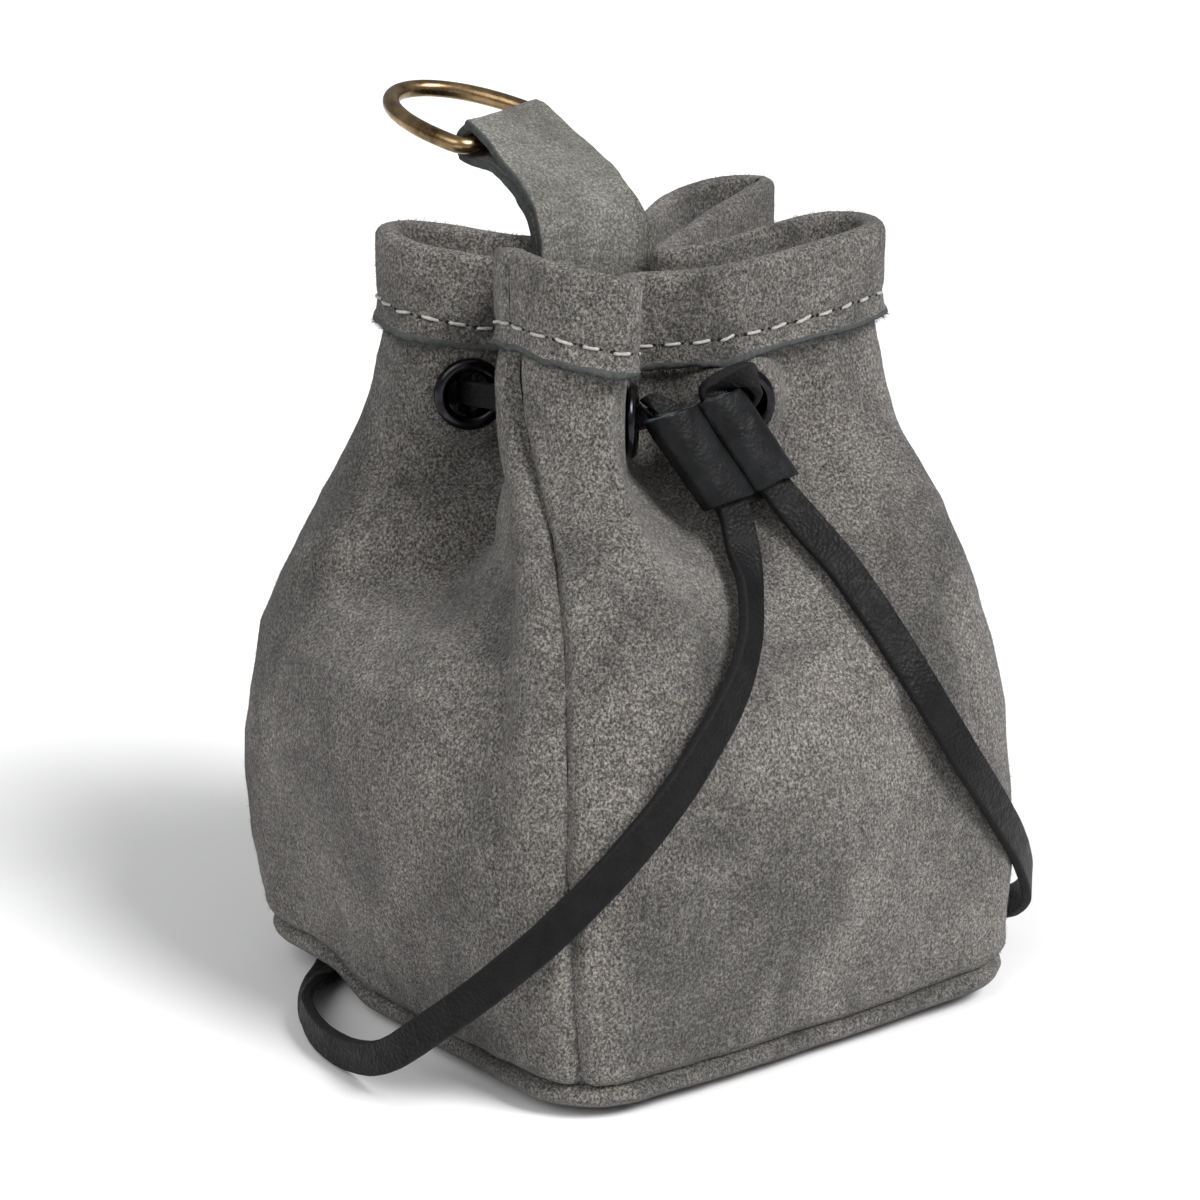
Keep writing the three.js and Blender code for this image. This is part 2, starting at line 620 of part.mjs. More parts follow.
// Route of the thong through the neck: out of the slider's left tube, through the eyelets and back
// into the right tube.
const UP = [0, 0, 1];
const ACROSS = SLIDER_ACROSS.toArray();
const ACROSS_BACK = SLIDER_ACROSS.clone().negate().toArray();
const seatOf = (name, outwards) => {
  const e = EYELETS.find((k) => k.name === name);
  return e.seat.point.clone().addScaledVector(e.seat.out, outwards).toArray();
};
const OUTSIDE = EYELET_FLANGE_HEIGHT + THONG_THICKNESS + 0.5;
const IN_WALL = -WALL / 2;
const NECK_ROUTE = [
  { at: inTube(-1, 7).toArray(), width: ACROSS },
  { at: inTube(-1, 3).toArray(), width: ACROSS },
  { at: inTube(-1, 0).toArray(), width: ACROSS },
  { at: nearNeck(-0.263, -0.4525, 2.24), width: [0.8, 0, 0.6] },
  { at: nearNeck(-0.2866, -0.4447, 1.07), width: [0.2, 0, 1] },
  { at: seatOf('eyelet_front_left', 1.5), width: UP },
  { at: seatOf('eyelet_front_left', -2.5), width: UP },
  { at: nearNeck(-0.445, -0.2125, 0), width: UP },
  { at: nearNeck(-0.42, -0.075, 0), width: UP },
  { at: seatOf('eyelet_left_front', IN_WALL), width: UP },
  { at: nearNeck(-0.47, 0.19, 0), width: UP },
  { at: seatOf('eyelet_left_back', IN_WALL), width: UP },
  { at: nearNeck(-0.43, 0.44, 0), width: UP },
  { at: nearNeck(-0.34, 0.495, 0), width: UP },
  { at: seatOf('eyelet_back_left', 0), width: UP },
  { at: seatOf('eyelet_back_left', OUTSIDE), width: UP },
  { at: nearNeck(-0.085, 0.56, 0), width: UP },
  { at: nearNeck(0.015, 0.505, 0), width: UP },
  { at: nearNeck(0.115, 0.485, 0), width: UP },
  { at: nearNeck(0.22, 0.52, 0), width: UP },
  { at: nearNeck(0.315, 0.575, 0), width: UP },
  { at: seatOf('eyelet_back_right', OUTSIDE), width: UP },
  { at: seatOf('eyelet_back_right', IN_WALL), width: UP },
  { at: nearNeck(0.455, 0.37, 0), width: UP },
  { at: seatOf('eyelet_right_back', -OUTSIDE), width: UP },
  { at: seatOf('eyelet_right_back', 0.6), width: UP },
  { at: seatOf('eyelet_right_front', IN_WALL), width: UP },
  { at: nearNeck(0.365, -0.18, 0), width: UP },
  { at: nearNeck(0.26, -0.265, 0), width: UP },
  { at: seatOf('eyelet_front_right', IN_WALL), width: UP },
  { at: seatOf('eyelet_front_right', 2.4), width: UP },
  { at: nearNeck(0.1538, -0.5088, 3.61), width: [-0.2, 0, 1] },
  { at: nearNeck(0.0826, -0.5366, 5.61), width: [-0.6, 0, 0.8] },
  { at: inTube(1, -1.4).toArray(), width: ACROSS_BACK },
  { at: inTube(1, 2.5).toArray(), width: ACROSS_BACK },
  { at: inTube(1, 7).toArray(), width: ACROSS_BACK },
];

// Route of the free thong: out of the left tube, down over the front corner to the floor, under the
// lifted left corner, behind the pouch, round the right corner and up into the right tube.
const LOOP_ROUTE = [
  { at: inTube(-1, 7.4).toArray(), width: ACROSS },
  { at: inTube(-1, 11).toArray(), width: ACROSS },
  { at: inTube(-1, SLIDER_LENGTH + 1.2).toArray(), width: ACROSS },
  { at: [-1.9, -28.0, 73.8], width: [0.95, -0.3, -0.08] },
  { at: [-4.9, -33.4, 69.1], width: [0.75, 0, -0.67] },
  { at: [-10.4, -40.0, 64.4], width: [0.59, 0.06, -0.8] },
  { at: [-16.6, -44.6, 59.7], width: [0.61, 0.03, -0.79] },
  { at: [-22.9, -46.8, 54.4], width: [0.68, -0.07, -0.73] },
  { at: [-30.0, -47.6, 47.6], width: [0.69, -0.16, -0.7] },
  { at: [-38.2, -46.0, 39.2], width: [0.64, -0.33, -0.69] },
  { at: [-45.6, -41.4, 30.2], width: [0.49, -0.51, -0.7] },
  { at: [-51.3, -34.2, 21.4], width: [0.32, -0.6, -0.74] },
  { at: [-55.0, -25.6, 13.4], width: [0.16, -0.61, -0.78] },
  { at: [-56.8, -16.8, 6.6], width: [-0.05, 0, -1] },
  { at: [-56.6, -7.8, 3.4], width: [0, 0, -1] },
  { at: [-55.8, 1.6, 2.75], width: [0, 0, -1] },
  { at: [-52.4, 11.2, 2.75], width: [0, 0, -1] },
  { at: [-47.2, 18.4, 2.3], width: [-0.5, 0.3, -0.8] },
  { at: [-42.4, 23.2, 1.4], width: [-0.75, 0.62, -0.2] },
  { at: [-37.8, 27.4, 1.0], width: [-0.76, 0.65, 0] },
  { at: [-33.6, 32.4, 0.95], width: [-0.8, 0.6, 0] },
  { at: [-30.0, 38.6, 0.95], width: [-0.87, 0.5, 0] },
  { at: [-26.2, 45.4, 1.0], width: [-0.85, 0.52, 0] },
  { at: [-20.0, 51.2, 1.3], width: [-0.68, 0.72, 0.12] },
  { at: [-8.6, 55.6, 2.0], width: [-0.3, 0.9, 0.4] },
  { at: [8.0, 57.0, 2.65], width: [0, 0.5, 0.86] },
  { at: [26.0, 55.8, 2.6], width: [0, 0, 1] },
  { at: [42.6, 49.4, 2.7], width: [0, 0, 1] },
  { at: [53.0, 35.6, 2.7], width: [0, 0, 1] },
  { at: [56.8, 18.0, 2.7], width: [0, 0, 1] },
  { at: [57.4, 0.0, 2.7], width: [0, 0, 1] },
  { at: [56.6, -14.4, 2.9], width: [0, 0, 1] },
  { at: [54.8, -25.2, 5.8], width: [0.1, 0, 1] },
  { at: [49.9, -34.6, 12.4], width: [0.4, 0.46, 0.79] },
  { at: [41.6, -41.6, 22.0], width: [0.6, 0.35, 0.73] },
  { at: [32.4, -46.0, 32.2], width: [0.71, 0.18, 0.68] },
  { at: [23.6, -48.4, 42.4], width: [0.8, 0.08, 0.59] },
  { at: [16.6, -47.0, 53.6], width: [0.9, 0.04, 0.44] },
  { at: [13.0, -41.2, 63.4], width: [0.94, -0.05, 0.34] },
  { at: [11.0, -34.8, 70.6], width: [0.91, -0.11, 0.4] },
  { at: [8.9, -29.2, 76.0], width: [0.83, -0.17, 0.53] },
  { at: inTube(1, SLIDER_LENGTH + 1.2).toArray(), width: ACROSS },
  { at: inTube(1, 11).toArray(), width: ACROSS },
  { at: inTube(1, 7.4).toArray(), width: ACROSS },
];

// Ring: the middle of its bar, the way the bar runs and the way the bow points.
const BAR_MIDDLE = new THREE.Vector3(0.028 * NECK_REACH, 0.825 * NECK_REACH, POUCH_HEIGHT + BAR_RISE);
const BAR_ALONG = new THREE.Vector3(0.938, 0.336, 0.083).normalize();
const BOW_OUT = new THREE.Vector3(-0.346, 0.907, 0.241).normalize();

// A ring bent from wire: a straight bar and a bow.
function ringGeometry() {
  const half = (RING_INNER_WIDTH + RING_WIRE) / 2;
  const depth = RING_DEPTH - RING_WIRE;
  const turn = RING_CORNER;
  const bow = BOW_OUT.clone().addScaledVector(BAR_ALONG, -BOW_OUT.dot(BAR_ALONG)).normalize();
  const side = new THREE.Vector3().crossVectors(bow, BAR_ALONG);
  const centre = [];
  const put = (u, v) => centre.push(new THREE.Vector2(u, v));
  const straight = 5;
  for (let k = 0; k <= straight; k += 1) put(-half + turn + ((2 * half - 2 * turn) * k) / straight, 0);
  for (let k = 1; k <= 3; k += 1) {
    const t = (Math.PI / 2) * (k / 3);
    put(half - turn + turn * Math.sin(t), turn - turn * Math.cos(t));
  }
  const bowSteps = 18;
  for (let k = 1; k < bowSteps; k += 1) {
    const t = (Math.PI * k) / bowSteps;
    put(half * Math.cos(t), turn + (depth - turn) * Math.sin(t) ** 0.9);
  }
  for (let k = 0; k < 3; k += 1) {
    const t = (Math.PI / 2) * (k / 3);
    put(-half + turn - turn * Math.cos(t), turn - turn * Math.sin(t));
  }
  const sides = 8;
  const n = centre.length;
  const rings = centre.map((p, i) => {
    const along = centre[(i + 1) % n].clone().sub(centre[(i - 1 + n) % n]).normalize();
    const across = new THREE.Vector2(along.y, -along.x);
    const loop = [];
    for (let k = 0; k < sides; k += 1) {
      const t = (2 * Math.PI * k) / sides;
      const flat = p.clone().addScaledVector(across, (RING_WIRE / 2) * Math.cos(t));
      loop.push(
        BAR_MIDDLE.clone()
          .addScaledVector(BAR_ALONG, flat.x)
          .addScaledVector(bow, flat.y)
          .addScaledVector(side, (RING_WIRE / 2) * Math.sin(t)),
      );
    }
    return loop;
  });
  return shellFromRings(rings, true);
}

// Strap: one strip that rises inside the back of the neck, wraps the bar and comes back down.
const WRAP = RING_WIRE / 2 + BAR_CLEARANCE + STRAP_THICKNESS / 2;
const STRAP_BASE_WIDTH = [0.985, -0.17, 0];
const STRAP_MIDDLE_WIDTH = [0.98, 0.08, 0.07];
const STRAP_TOP_WIDTH = BAR_ALONG.toArray();
const LAYER = (STRAP_THICKNESS + GAP + 0.05) / 2;
// Places along the middle of the strap: shares of the neck's reach, and the height above the pouch in
// shares of the bar's rise.
const STRAP_LINE = [
  { x: 0.033, y: 0.295, rise: -1.691, lean: [0, -1, 0], width: STRAP_BASE_WIDTH },
  { x: 0.033, y: 0.295, rise: -1.063, lean: [0, -1, 0], width: STRAP_BASE_WIDTH },
  { x: 0.033, y: 0.3, rise: -0.483, lean: [0, -1, 0.05], width: STRAP_BASE_WIDTH },
  { x: 0.033, y: 0.34, rise: 0.039, lean: [0, -0.9, 0.4], width: [0.985, -0.1, 0.02] },
  { x: 0.037, y: 0.44, rise: 0.386, lean: [0, -0.7, 0.7], width: STRAP_MIDDLE_WIDTH },
  { x: 0.04, y: 0.56, rise: 0.628, lean: [0, -0.5, 0.85], width: [0.965, 0.2, 0.06] },
  { x: 0.048, y: 0.68, rise: 0.802, lean: [-0.1, -0.42, 0.9], width: STRAP_TOP_WIDTH },
].map((row) => ({
  ...row,
  at: [row.x * NECK_REACH, row.y * NECK_REACH, POUCH_HEIGHT + row.rise * BAR_RISE],
}));
function strapRoute() {
  const layer = (sign) => STRAP_LINE.map((row, i) => {
    const away = new THREE.Vector3(...row.lean).normalize();
    const spread = i === STRAP_LINE.length - 1 ? LAYER + 0.5 : LAYER;
    return { at: new THREE.Vector3(...row.at).addScaledVector(away, sign * spread).toArray(), width: row.width };
  });
  const top = layer(1);
  const under = layer(-1).reverse();
  const inwards = new THREE.Vector3(...STRAP_LINE[6].at).sub(BAR_MIDDLE);
  inwards.addScaledVector(BAR_ALONG, -inwards.dot(BAR_ALONG)).normalize();
  const above = new THREE.Vector3().crossVectors(inwards, BAR_ALONG).normalize();
  if (above.z < 0) above.negate();
  const wrap = [];
  for (const degrees of [10, 50, 90, 130, 170]) {
    const t = THREE.MathUtils.degToRad(degrees);
    wrap.push({
      at: BAR_MIDDLE.clone()
        .addScaledVector(above, WRAP * Math.cos(t))
        .addScaledVector(inwards, -WRAP * Math.sin(t))
        .toArray(),
      width: STRAP_TOP_WIDTH,
    });
  }
  return [...top, ...wrap, ...under];
}

const SUEDE = new THREE.MeshStandardMaterial({ color: 0x73706c, roughness: 0.95, metalness: 0 });
const SUEDE_BASE = new THREE.MeshStandardMaterial({ color: 0x6f6c68, roughness: 0.95, metalness: 0 });
const STRAP_SUEDE = new THREE.MeshStandardMaterial({ color: 0x6b6a63, roughness: 0.92, metalness: 0 });
const BLACK_LEATHER = new THREE.MeshStandardMaterial({ color: 0x1c1c1d, roughness: 0.5, metalness: 0 });
const BLACK_METAL = new THREE.MeshStandardMaterial({ color: 0x141416, roughness: 0.25, metalness: 0.8 });
const OLD_BRASS = new THREE.MeshStandardMaterial({ color: 0x8a6f4a, roughness: 0.3, metalness: 1 });

const wasm = await Module();
wasm.setup();

// Geometry with its repeated points merged by place.
function welded(geometry) {
  const source = geometry.index ? geometry.toNonIndexed() : geometry;
  const at = source.getAttribute('position');
  const found = new Map();
  const position = [];
  const ids = [];
  for (let i = 0; i < at.count; i += 1) {
    const key = [at.getX(i), at.getY(i), at.getZ(i)].map((v) => Math.round(v * 1e4)).join(',');
    if (!found.has(key)) {
      found.set(key, position.length / 3);
      position.push(at.getX(i), at.getY(i), at.getZ(i));
    }
    ids.push(found.get(key));
  }
  const index = [];
  for (let i = 0; i < ids.length; i += 3) {
    const [a, b, c] = ids.slice(i, i + 3);
    if (a !== b && b !== c && a !== c) index.push(a, b, c);
  }
  const out = new THREE.BufferGeometry();
  out.setAttribute('position', new THREE.Float32BufferAttribute(position, 3));
  out.setIndex(index);
  return out;
}

function toManifold(geometry) {
  const g = welded(geometry);
  const mesh = new wasm.Mesh({
    numProp: 3,
    vertProperties: new Float32Array(g.getAttribute('position').array),
    triVerts: new Uint32Array(g.getIndex().array),
  });
  return new wasm.Manifold(mesh);
}

function fromManifold(solid) {
  const mesh = solid.getMesh();
  const geometry = new THREE.BufferGeometry();
  geometry.setAttribute('position', new THREE.Float32BufferAttribute(mesh.vertProperties, 3));
  geometry.setIndex(Array.from(mesh.triVerts));
  return geometry;
}

// Turns +Y of a lathe or cylinder to an eyelet's outward direction and moves it to its seat.
function toSeat(geometry, seat) {
  const turn = new THREE.Quaternion().setFromUnitVectors(new THREE.Vector3(0, 1, 0), seat.out);
  geometry.applyMatrix4(new THREE.Matrix4().makeRotationFromQuaternion(turn));
  geometry.translate(seat.point.x, seat.point.y, seat.point.z);
  return geometry;
}

function punched(geometry, eyelets) {
  let solid = toManifold(geometry);
  for (const e of eyelets) {
    const height = WALL + 2 * PUNCH_MARGIN + e.spread.high - e.spread.low;
    const punch = new THREE.CylinderGeometry(PUNCH_RADIUS, PUNCH_RADIUS, height, EYELET_SIDES);
    punch.translate(0, (e.spread.high + e.spread.low - WALL) / 2, 0);
    solid = solid.subtract(toManifold(toSeat(punch, e.seat)));
  }
  return fromManifold(solid);
}

const pouch = new THREE.Group();
pouch.name = 'belt_pouch';

function addPiece(name, geometry, material) {
  geometry.computeVertexNormals();
  const mesh = new THREE.Mesh(geometry, material);
  mesh.name = name;
  pouch.add(mesh);
  return mesh;
}

const frontHoles = EYELETS.filter((e) => e.at > 7 || e.at < 3);
const backHoles = EYELETS.filter((e) => e.at > 3 && e.at < 7);
addPiece('panel_front', punched(panel(7, 11), frontHoles), SUEDE);
addPiece('panel_back', punched(panel(3, 7), backHoles), SUEDE);
addPiece('base_panel', basePanel(), SUEDE_BASE);
for (const e of EYELETS) addPiece(e.name, toSeat(eyeletGeometry(e.spread), e.seat), BLACK_METAL);
addPiece('cord_slider', sliderGeometry(), BLACK_LEATHER);
addPiece(
  'drawstring_neck',
  sweep(NECK_ROUTE, flatSection(THONG_NECK_WIDTH, THONG_THICKNESS, 0.3), 76),
  BLACK_LEATHER,
);
addPiece(
  'drawstring_loop',
  sweep(LOOP_ROUTE, flatSection(THONG_WIDTH, THONG_THICKNESS, 0.4), 80),
  BLACK_LEATHER,
);
addPiece(
  'belt_strap',
  sweep(strapRoute(), flatSection(STRAP_WIDTH, STRAP_THICKNESS, 0.3), 42),
  STRAP_SUEDE,
);
addPiece('d_ring', ringGeometry(), OLD_BRASS);

export default pouch;
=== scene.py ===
import math

import bpy
import numpy as np
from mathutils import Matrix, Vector


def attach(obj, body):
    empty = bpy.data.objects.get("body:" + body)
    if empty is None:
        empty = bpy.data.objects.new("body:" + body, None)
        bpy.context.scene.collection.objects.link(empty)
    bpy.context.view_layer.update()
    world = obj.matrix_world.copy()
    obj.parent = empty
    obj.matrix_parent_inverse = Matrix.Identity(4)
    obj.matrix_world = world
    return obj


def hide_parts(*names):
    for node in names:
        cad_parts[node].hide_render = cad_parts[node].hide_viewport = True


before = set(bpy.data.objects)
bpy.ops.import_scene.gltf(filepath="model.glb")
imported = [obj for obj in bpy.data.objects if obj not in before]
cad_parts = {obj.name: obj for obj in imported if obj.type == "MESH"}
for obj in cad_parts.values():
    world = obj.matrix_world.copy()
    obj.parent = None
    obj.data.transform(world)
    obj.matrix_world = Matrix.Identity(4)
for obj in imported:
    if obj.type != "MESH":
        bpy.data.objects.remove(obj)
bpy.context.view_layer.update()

# Gathered suede belt pouch. Lengths are in millimetres until a mesh is made, in the model's own frame.
POUCH_HEIGHT = 115.0
BASE_HALF_SIDE = 43.6
WALL = 1.8
BASE_SEAM_HEIGHT = 4.8
BASE_CURL = 9.0
HEM_HEIGHT = 14.0
HEM_LAYER = 1.4
GAP = 0.3
CORD_HEIGHT = 91.7
HEM_EDGE = POUCH_HEIGHT - HEM_HEIGHT
STITCH_ABOVE_EDGE = 3.5
STITCH_PITCH = 4.2

# Plan of the gathered neck, and the shift of the hem from it.
NECK_PLAN = [
    (-6, -8.2, 0, 0), (3.5, -13.6, 0, 0), (17, -15.8, 0, 0), (29, -15.8, -0.6, 0.2), (36, -14, -1.2, 0.4),
    (38.3, -8, -1.4, 0.2), (34, -2.6, -0.8, -0.2), (24, -1.6, 0, 0), (14, -1.6, 0, 0), (6.5, 0.8, 0, 0),
    (12, 5.2, 0, 0), (22, 10, 0, 0), (32, 13.8, 0, 0), (40.5, 19, 0, 0), (36.5, 25, 0, 0), (26, 24.5, 0, 0),
    (15, 18.5, 0, 0), (3.5, 15.5, 0, 0), (-7, 18.5, 0, 0), (-14.5, 26.5, 0, 0), (-20.5, 30.8, 0.7, -1),
    (-27, 27.5, 1.4, -1.1), (-28, 18.5, 1.3, -0.6), (-20.5, 12.5, 0.4, 0), (-10.5, 8, 0, 0), (-17, 3.8, 0, 0),
    (-25.4, -1.2, 1.6, 0.4), (-26.3, -7, 0.4, 0), (-25.5, -15, 0, 0), (-20.6, -21.2, 2, -1.4),
    (-17, -16.2, 1.8, -1.6), (-11.8, -11.6, 0.8, -0.8),
]
NECK_MARKS = [0, 5, 9, 13, 17, 21, 24, 27, 32]
# Height, growth of the half side, corner radius, bulge, lean.
BODY_ROWS = np.array([
    (0, -0.4, 13, 0, 0), (6, 0, 12, 0.5, 0), (20, 1.4, 13, 2, -0.8), (38, 2, 15.5, 4, -1.6),
    (55, 1.4, 17, 4.5, -1.4), (75, -0.1, 18, 3.5, 0), (100, -6.6, 18, 0, 0),
])
LEAN = np.array([0.8, -0.6])
# Height, share of the gathered outline at the tips, at the valleys and at the left valley.
GATHER_ROWS = np.array([
    (30, 0, 0, 0), (45, 0.02, 0.02, 0), (55, 0.08, 0.09, 0.05), (62, 0.17, 0.24, 0.2), (68, 0.28, 0.4, 0.55),
    (74, 0.42, 0.58, 0.82), (80, 0.6, 0.76, 0.93), (86, 0.79, 0.92, 0.98), (92, 0.94, 1, 1), (97, 1, 1, 1),
])
RIM = np.array([-4, 0, -3, 1.5, -3, 0, -4, 1.5])
LIFT = np.array([0, 0.71, 0, 0.53, 0, 0, 0, 0.36])
CORNER_LIFT = 3.2
CORNER_LIFT_FROM = 36.0
CORNER_LIFT_OVER = 9.0
LIFT_FADE_OVER = 25.0
RIM_FADE_FROM = 60.0
RIM_FADE_OVER = 40.0
RIM_SHIFT_ABOVE_CORD = 3.0
RIM_SHIFT_OVER = 9.3
# Places along the outline run from 0 to MARKS: even marks are the faces' middles, odd marks the corners.
MARKS = 8
MILLIMETRE = 0.001


# ---------------------------------------------------------------- small helpers

def unit(v):
    """The vector, or each row of vectors, at length 1."""
    v = np.asarray(v, float)
    return v / np.maximum(np.linalg.norm(v, axis=-1, keepdims=True), 1e-12)


def smooth(t):
    """A soft step from 0 at 0 to 1 at 1."""
    t = np.clip(t, 0, 1)
    return t * t * (3 - 2 * t)


def distances(line):
    """Distance of each point from the first, along the line."""
    return np.concatenate([[0], np.cumsum(np.linalg.norm(np.diff(line, axis=0), axis=1))])


def circle(sides):
    """Angles of points evenly spaced round a circle."""
    return np.linspace(0, 2 * math.pi, sides, endpoint=False)


def lattice(i, j, k, seed):
    """A fixed value from -1 to 1 for each whole-numbered point."""
    h = (i * 374761393 + j * 668265263 + k * 362437 + seed * 1442695) & 0xFFFFFFFF
    h = ((h ^ (h >> 13)) * 1274126177) & 0xFFFFFFFF
    return ((h ^ (h >> 16)) & 0xFFFFFF) / float(0x7FFFFF) - 1.0


def noise(points, size, seed=0):
    """Smooth noise from -1 to 1 with features of about that size in millimetres."""
    p = np.asarray(points, float) / np.asarray(size, float) + 1000.0
    f = np.floor(p)
    i = f.astype(np.int64)
    t = p - f
    t = t * t * (3 - 2 * t)
    out = 0
    for a in (0, 1):
        for b in (0, 1):
            for c in (0, 1):
                w = (t[..., 0] if a else 1 - t[..., 0]) * (t[..., 1] if b else 1 - t[..., 1])
                w = w * (t[..., 2] if c else 1 - t[..., 2])
                out = out + w * lattice(i[..., 0] + a, i[..., 1] + b, i[..., 2] + c, seed)
    return out


def make_object(name, verts, faces, materials, indices=None, flat=False):
    """A mesh object from points in millimetres, with one material index a face."""
    mesh = bpy.data.meshes.new(name)
    points = (np.asarray(verts, float) * MILLIMETRE).tolist()
    mesh.from_pydata(points, [], [tuple(int(k) for k in f) for f in faces])
    for m in materials:
        mesh.materials.append(m)
    if indices is not None:
        mesh.polygons.foreach_set("material_index", np.asarray(indices, dtype=np.int32))
    mesh.polygons.foreach_set("use_smooth", np.full(len(mesh.polygons), not flat))
    mesh.validate()
    mesh.update()
    obj = bpy.data.objects.new(name, mesh)
    bpy.context.scene.collection.objects.link(obj)
    return obj


def grid_faces(rows, columns, wrap_rows=False, wrap_columns=False, start=0):
    """Quads between the points of a grid that is numbered row by row."""
    r = np.arange(rows if wrap_rows else rows - 1)
    c = np.arange(columns if wrap_columns else columns - 1)
    rr, cc = np.meshgrid(r, c, indexing="ij")
    r2 = (rr + 1) % rows
    c2 = (cc + 1) % columns
    quads = np.stack([rr * columns + cc, rr * columns + c2, r2 * columns + c2, r2 * columns + cc], axis=-1)
    return quads.reshape(-1, 4) + start


# ---------------------------------------------------------------- materials

class Nodes:
    """Short calls for building a node material."""

    def __init__(self, name):
        self.material = bpy.data.materials.new(name)
        self.material.use_nodes = True
        self.tree = self.material.node_tree
        self.shader = self.tree.nodes["Principled BSDF"]
        self.coords = self.tree.nodes.new("ShaderNodeTexCoord").outputs["Object"]

    def set(self, **values):
        for key, value in values.items():
            self.shader.inputs[key.replace("_", " ")].default_value = value

    def noise(self, scale, detail=3.0, rough=0.55, stretch=None, distortion=0.0):
        n = self.tree.nodes.new("ShaderNodeTexNoise")
        n.inputs["Scale"].default_value = scale
        n.inputs["Detail"].default_value = detail
        n.inputs["Roughness"].default_value = rough
        n.inputs["Distortion"].default_value = distortion
        source = self.coords
        if stretch:
            m = self.tree.nodes.new("ShaderNodeMapping")
            m.inputs["Scale"].default_value = stretch
            self.tree.links.new(source, m.inputs["Vector"])
            source = m.outputs["Vector"]
        self.tree.links.new(source, n.inputs["Vector"])
        return n.outputs["Fac"]

    def voronoi(self, scale):
        n = self.tree.nodes.new("ShaderNodeTexVoronoi")
        n.inputs["Scale"].default_value = scale
        self.tree.links.new(self.coords, n.inputs["Vector"])
        return n.outputs["Distance"]

    def ramp(self, source, stops):
        n = self.tree.nodes.new("ShaderNodeValToRGB")
        e = n.color_ramp.elements
        while len(e) < len(stops):
            e.new(0.5)
        for k, (at, value) in enumerate(stops):
            e[k].position = at
            colour = value if isinstance(value, tuple) else (value, value, value)
            e[k].color = (*colour, 1)
        self.tree.links.new(source, n.inputs["Fac"])
        return n.outputs["Color"]

    def multiply(self, a, b, share):
        n = self.tree.nodes.new("ShaderNodeMix")
        n.data_type = "RGBA"
        n.blend_type = "MULTIPLY"
        n.inputs[0].default_value = share
        self.tree.links.new(a, n.inputs[6])
        self.tree.links.new(b, n.inputs[7])
        return n.outputs[2]

    def bump(self, height, distance, strength, below=None):
        n = self.tree.nodes.new("ShaderNodeBump")
        n.inputs["Strength"].default_value = strength
        n.inputs["Distance"].default_value = distance
        self.tree.links.new(height, n.inputs["Height"])
        if below is not None:
            self.tree.links.new(below, n.inputs["Normal"])
        return n.outputs["Normal"]

    def link(self, source, socket):
        self.tree.links.new(source, self.shader.inputs[socket])


def suede(name, colour, nap=1.0):
    """Worn patches, blotches and fine light and dark flecks over a fibrous relief."""
    m = Nodes(name)
    m.set(Sheen_Weight=0.18, Sheen_Roughness=0.5, Specular_IOR_Level=0.08)
    dark = tuple(c * 0.56 for c in colour)
    light = tuple(min(1, c * 1.36) for c in colour)
    patches = m.ramp(m.noise(38, 5, 0.62, (1, 1, 0.75), 0.8), [(0.36, dark), (0.5, colour), (0.65, light)])
    blotches = m.ramp(m.noise(330, 4, 0.6), [(0.3, 0.84), (0.7, 1.16)])
    ground = m.multiply(patches, blotches, 0.85)
    fibre = m.noise(2700, 4, 0.8, (1, 1, 0.8), 0.4)
    flecks = m.ramp(fibre, [(0.37, 1 - 0.85 * nap), (0.5, 0.92), (0.61, 1 + 1.6 * nap)])
    m.link(m.multiply(ground, flecks, 1.0), "Base Color")
    m.link(m.ramp(m.noise(300), [(0.2, 0.88), (0.8, 0.98)]), "Roughness")
    coarse = m.bump(m.noise(700, 4, 0.65), 0.0006, 0.6)
    m.link(m.bump(fibre, 0.0006, 0.85 * nap, coarse), "Normal")
    return m.material


def black_leather(name, colour, grain, gloss):
    """Pebbled black leather, a little worn."""
    m = Nodes(name)
    m.set(Specular_IOR_Level=0.13)
    worn = tuple(c * 2.2 for c in colour)
    tone = m.ramp(m.noise(240, 4, 0.6), [(0.38, colour), (0.8, worn)])
    m.link(tone, "Base Color")
    m.link(m.ramp(m.noise(620, 3), [(0.25, gloss - 0.08), (0.75, gloss + 0.14)]), "Roughness")
    pebble = m.bump(m.voronoi(1700), 0.0002, 0.7 * grain)
    m.link(m.bump(m.noise(900, 3, 0.6), 0.0002, 0.25 * grain, pebble), "Normal")
    return m.material


def raw_edge(name, colour):
    """Dull cut fibres; near black, the same material is the painted shade of the needle holes."""
    m = Nodes(name)
    m.set(Specular_IOR_Level=0.2)
    tone = m.ramp(m.noise(1400, 4, 0.7), [(0.3, tuple(c * 0.5 for c in colour)), (0.7, colour)])
    m.link(tone, "Base Color")
    m.link(m.ramp(m.noise(900), [(0.2, 0.75), (0.8, 0.95)]), "Roughness")
    m.link(m.bump(m.noise(2000, 3), 0.0002, 0.7), "Normal")
    return m.material


def metal(name, dark, light, rough, scale):
    m = Nodes(name)
    m.set(Metallic=1.0)
    m.link(m.ramp(m.noise(scale, 5, 0.65), [(0.3, dark), (0.62, light)]), "Base Color")
    m.link(m.ramp(m.noise(scale * 2.2, 4), [(0.2, rough * 0.75), (0.8, rough * 1.5)]), "Roughness")
    m.link(m.bump(m.noise(scale * 5, 3), 0.00006, 0.25), "Normal")
    return m.material


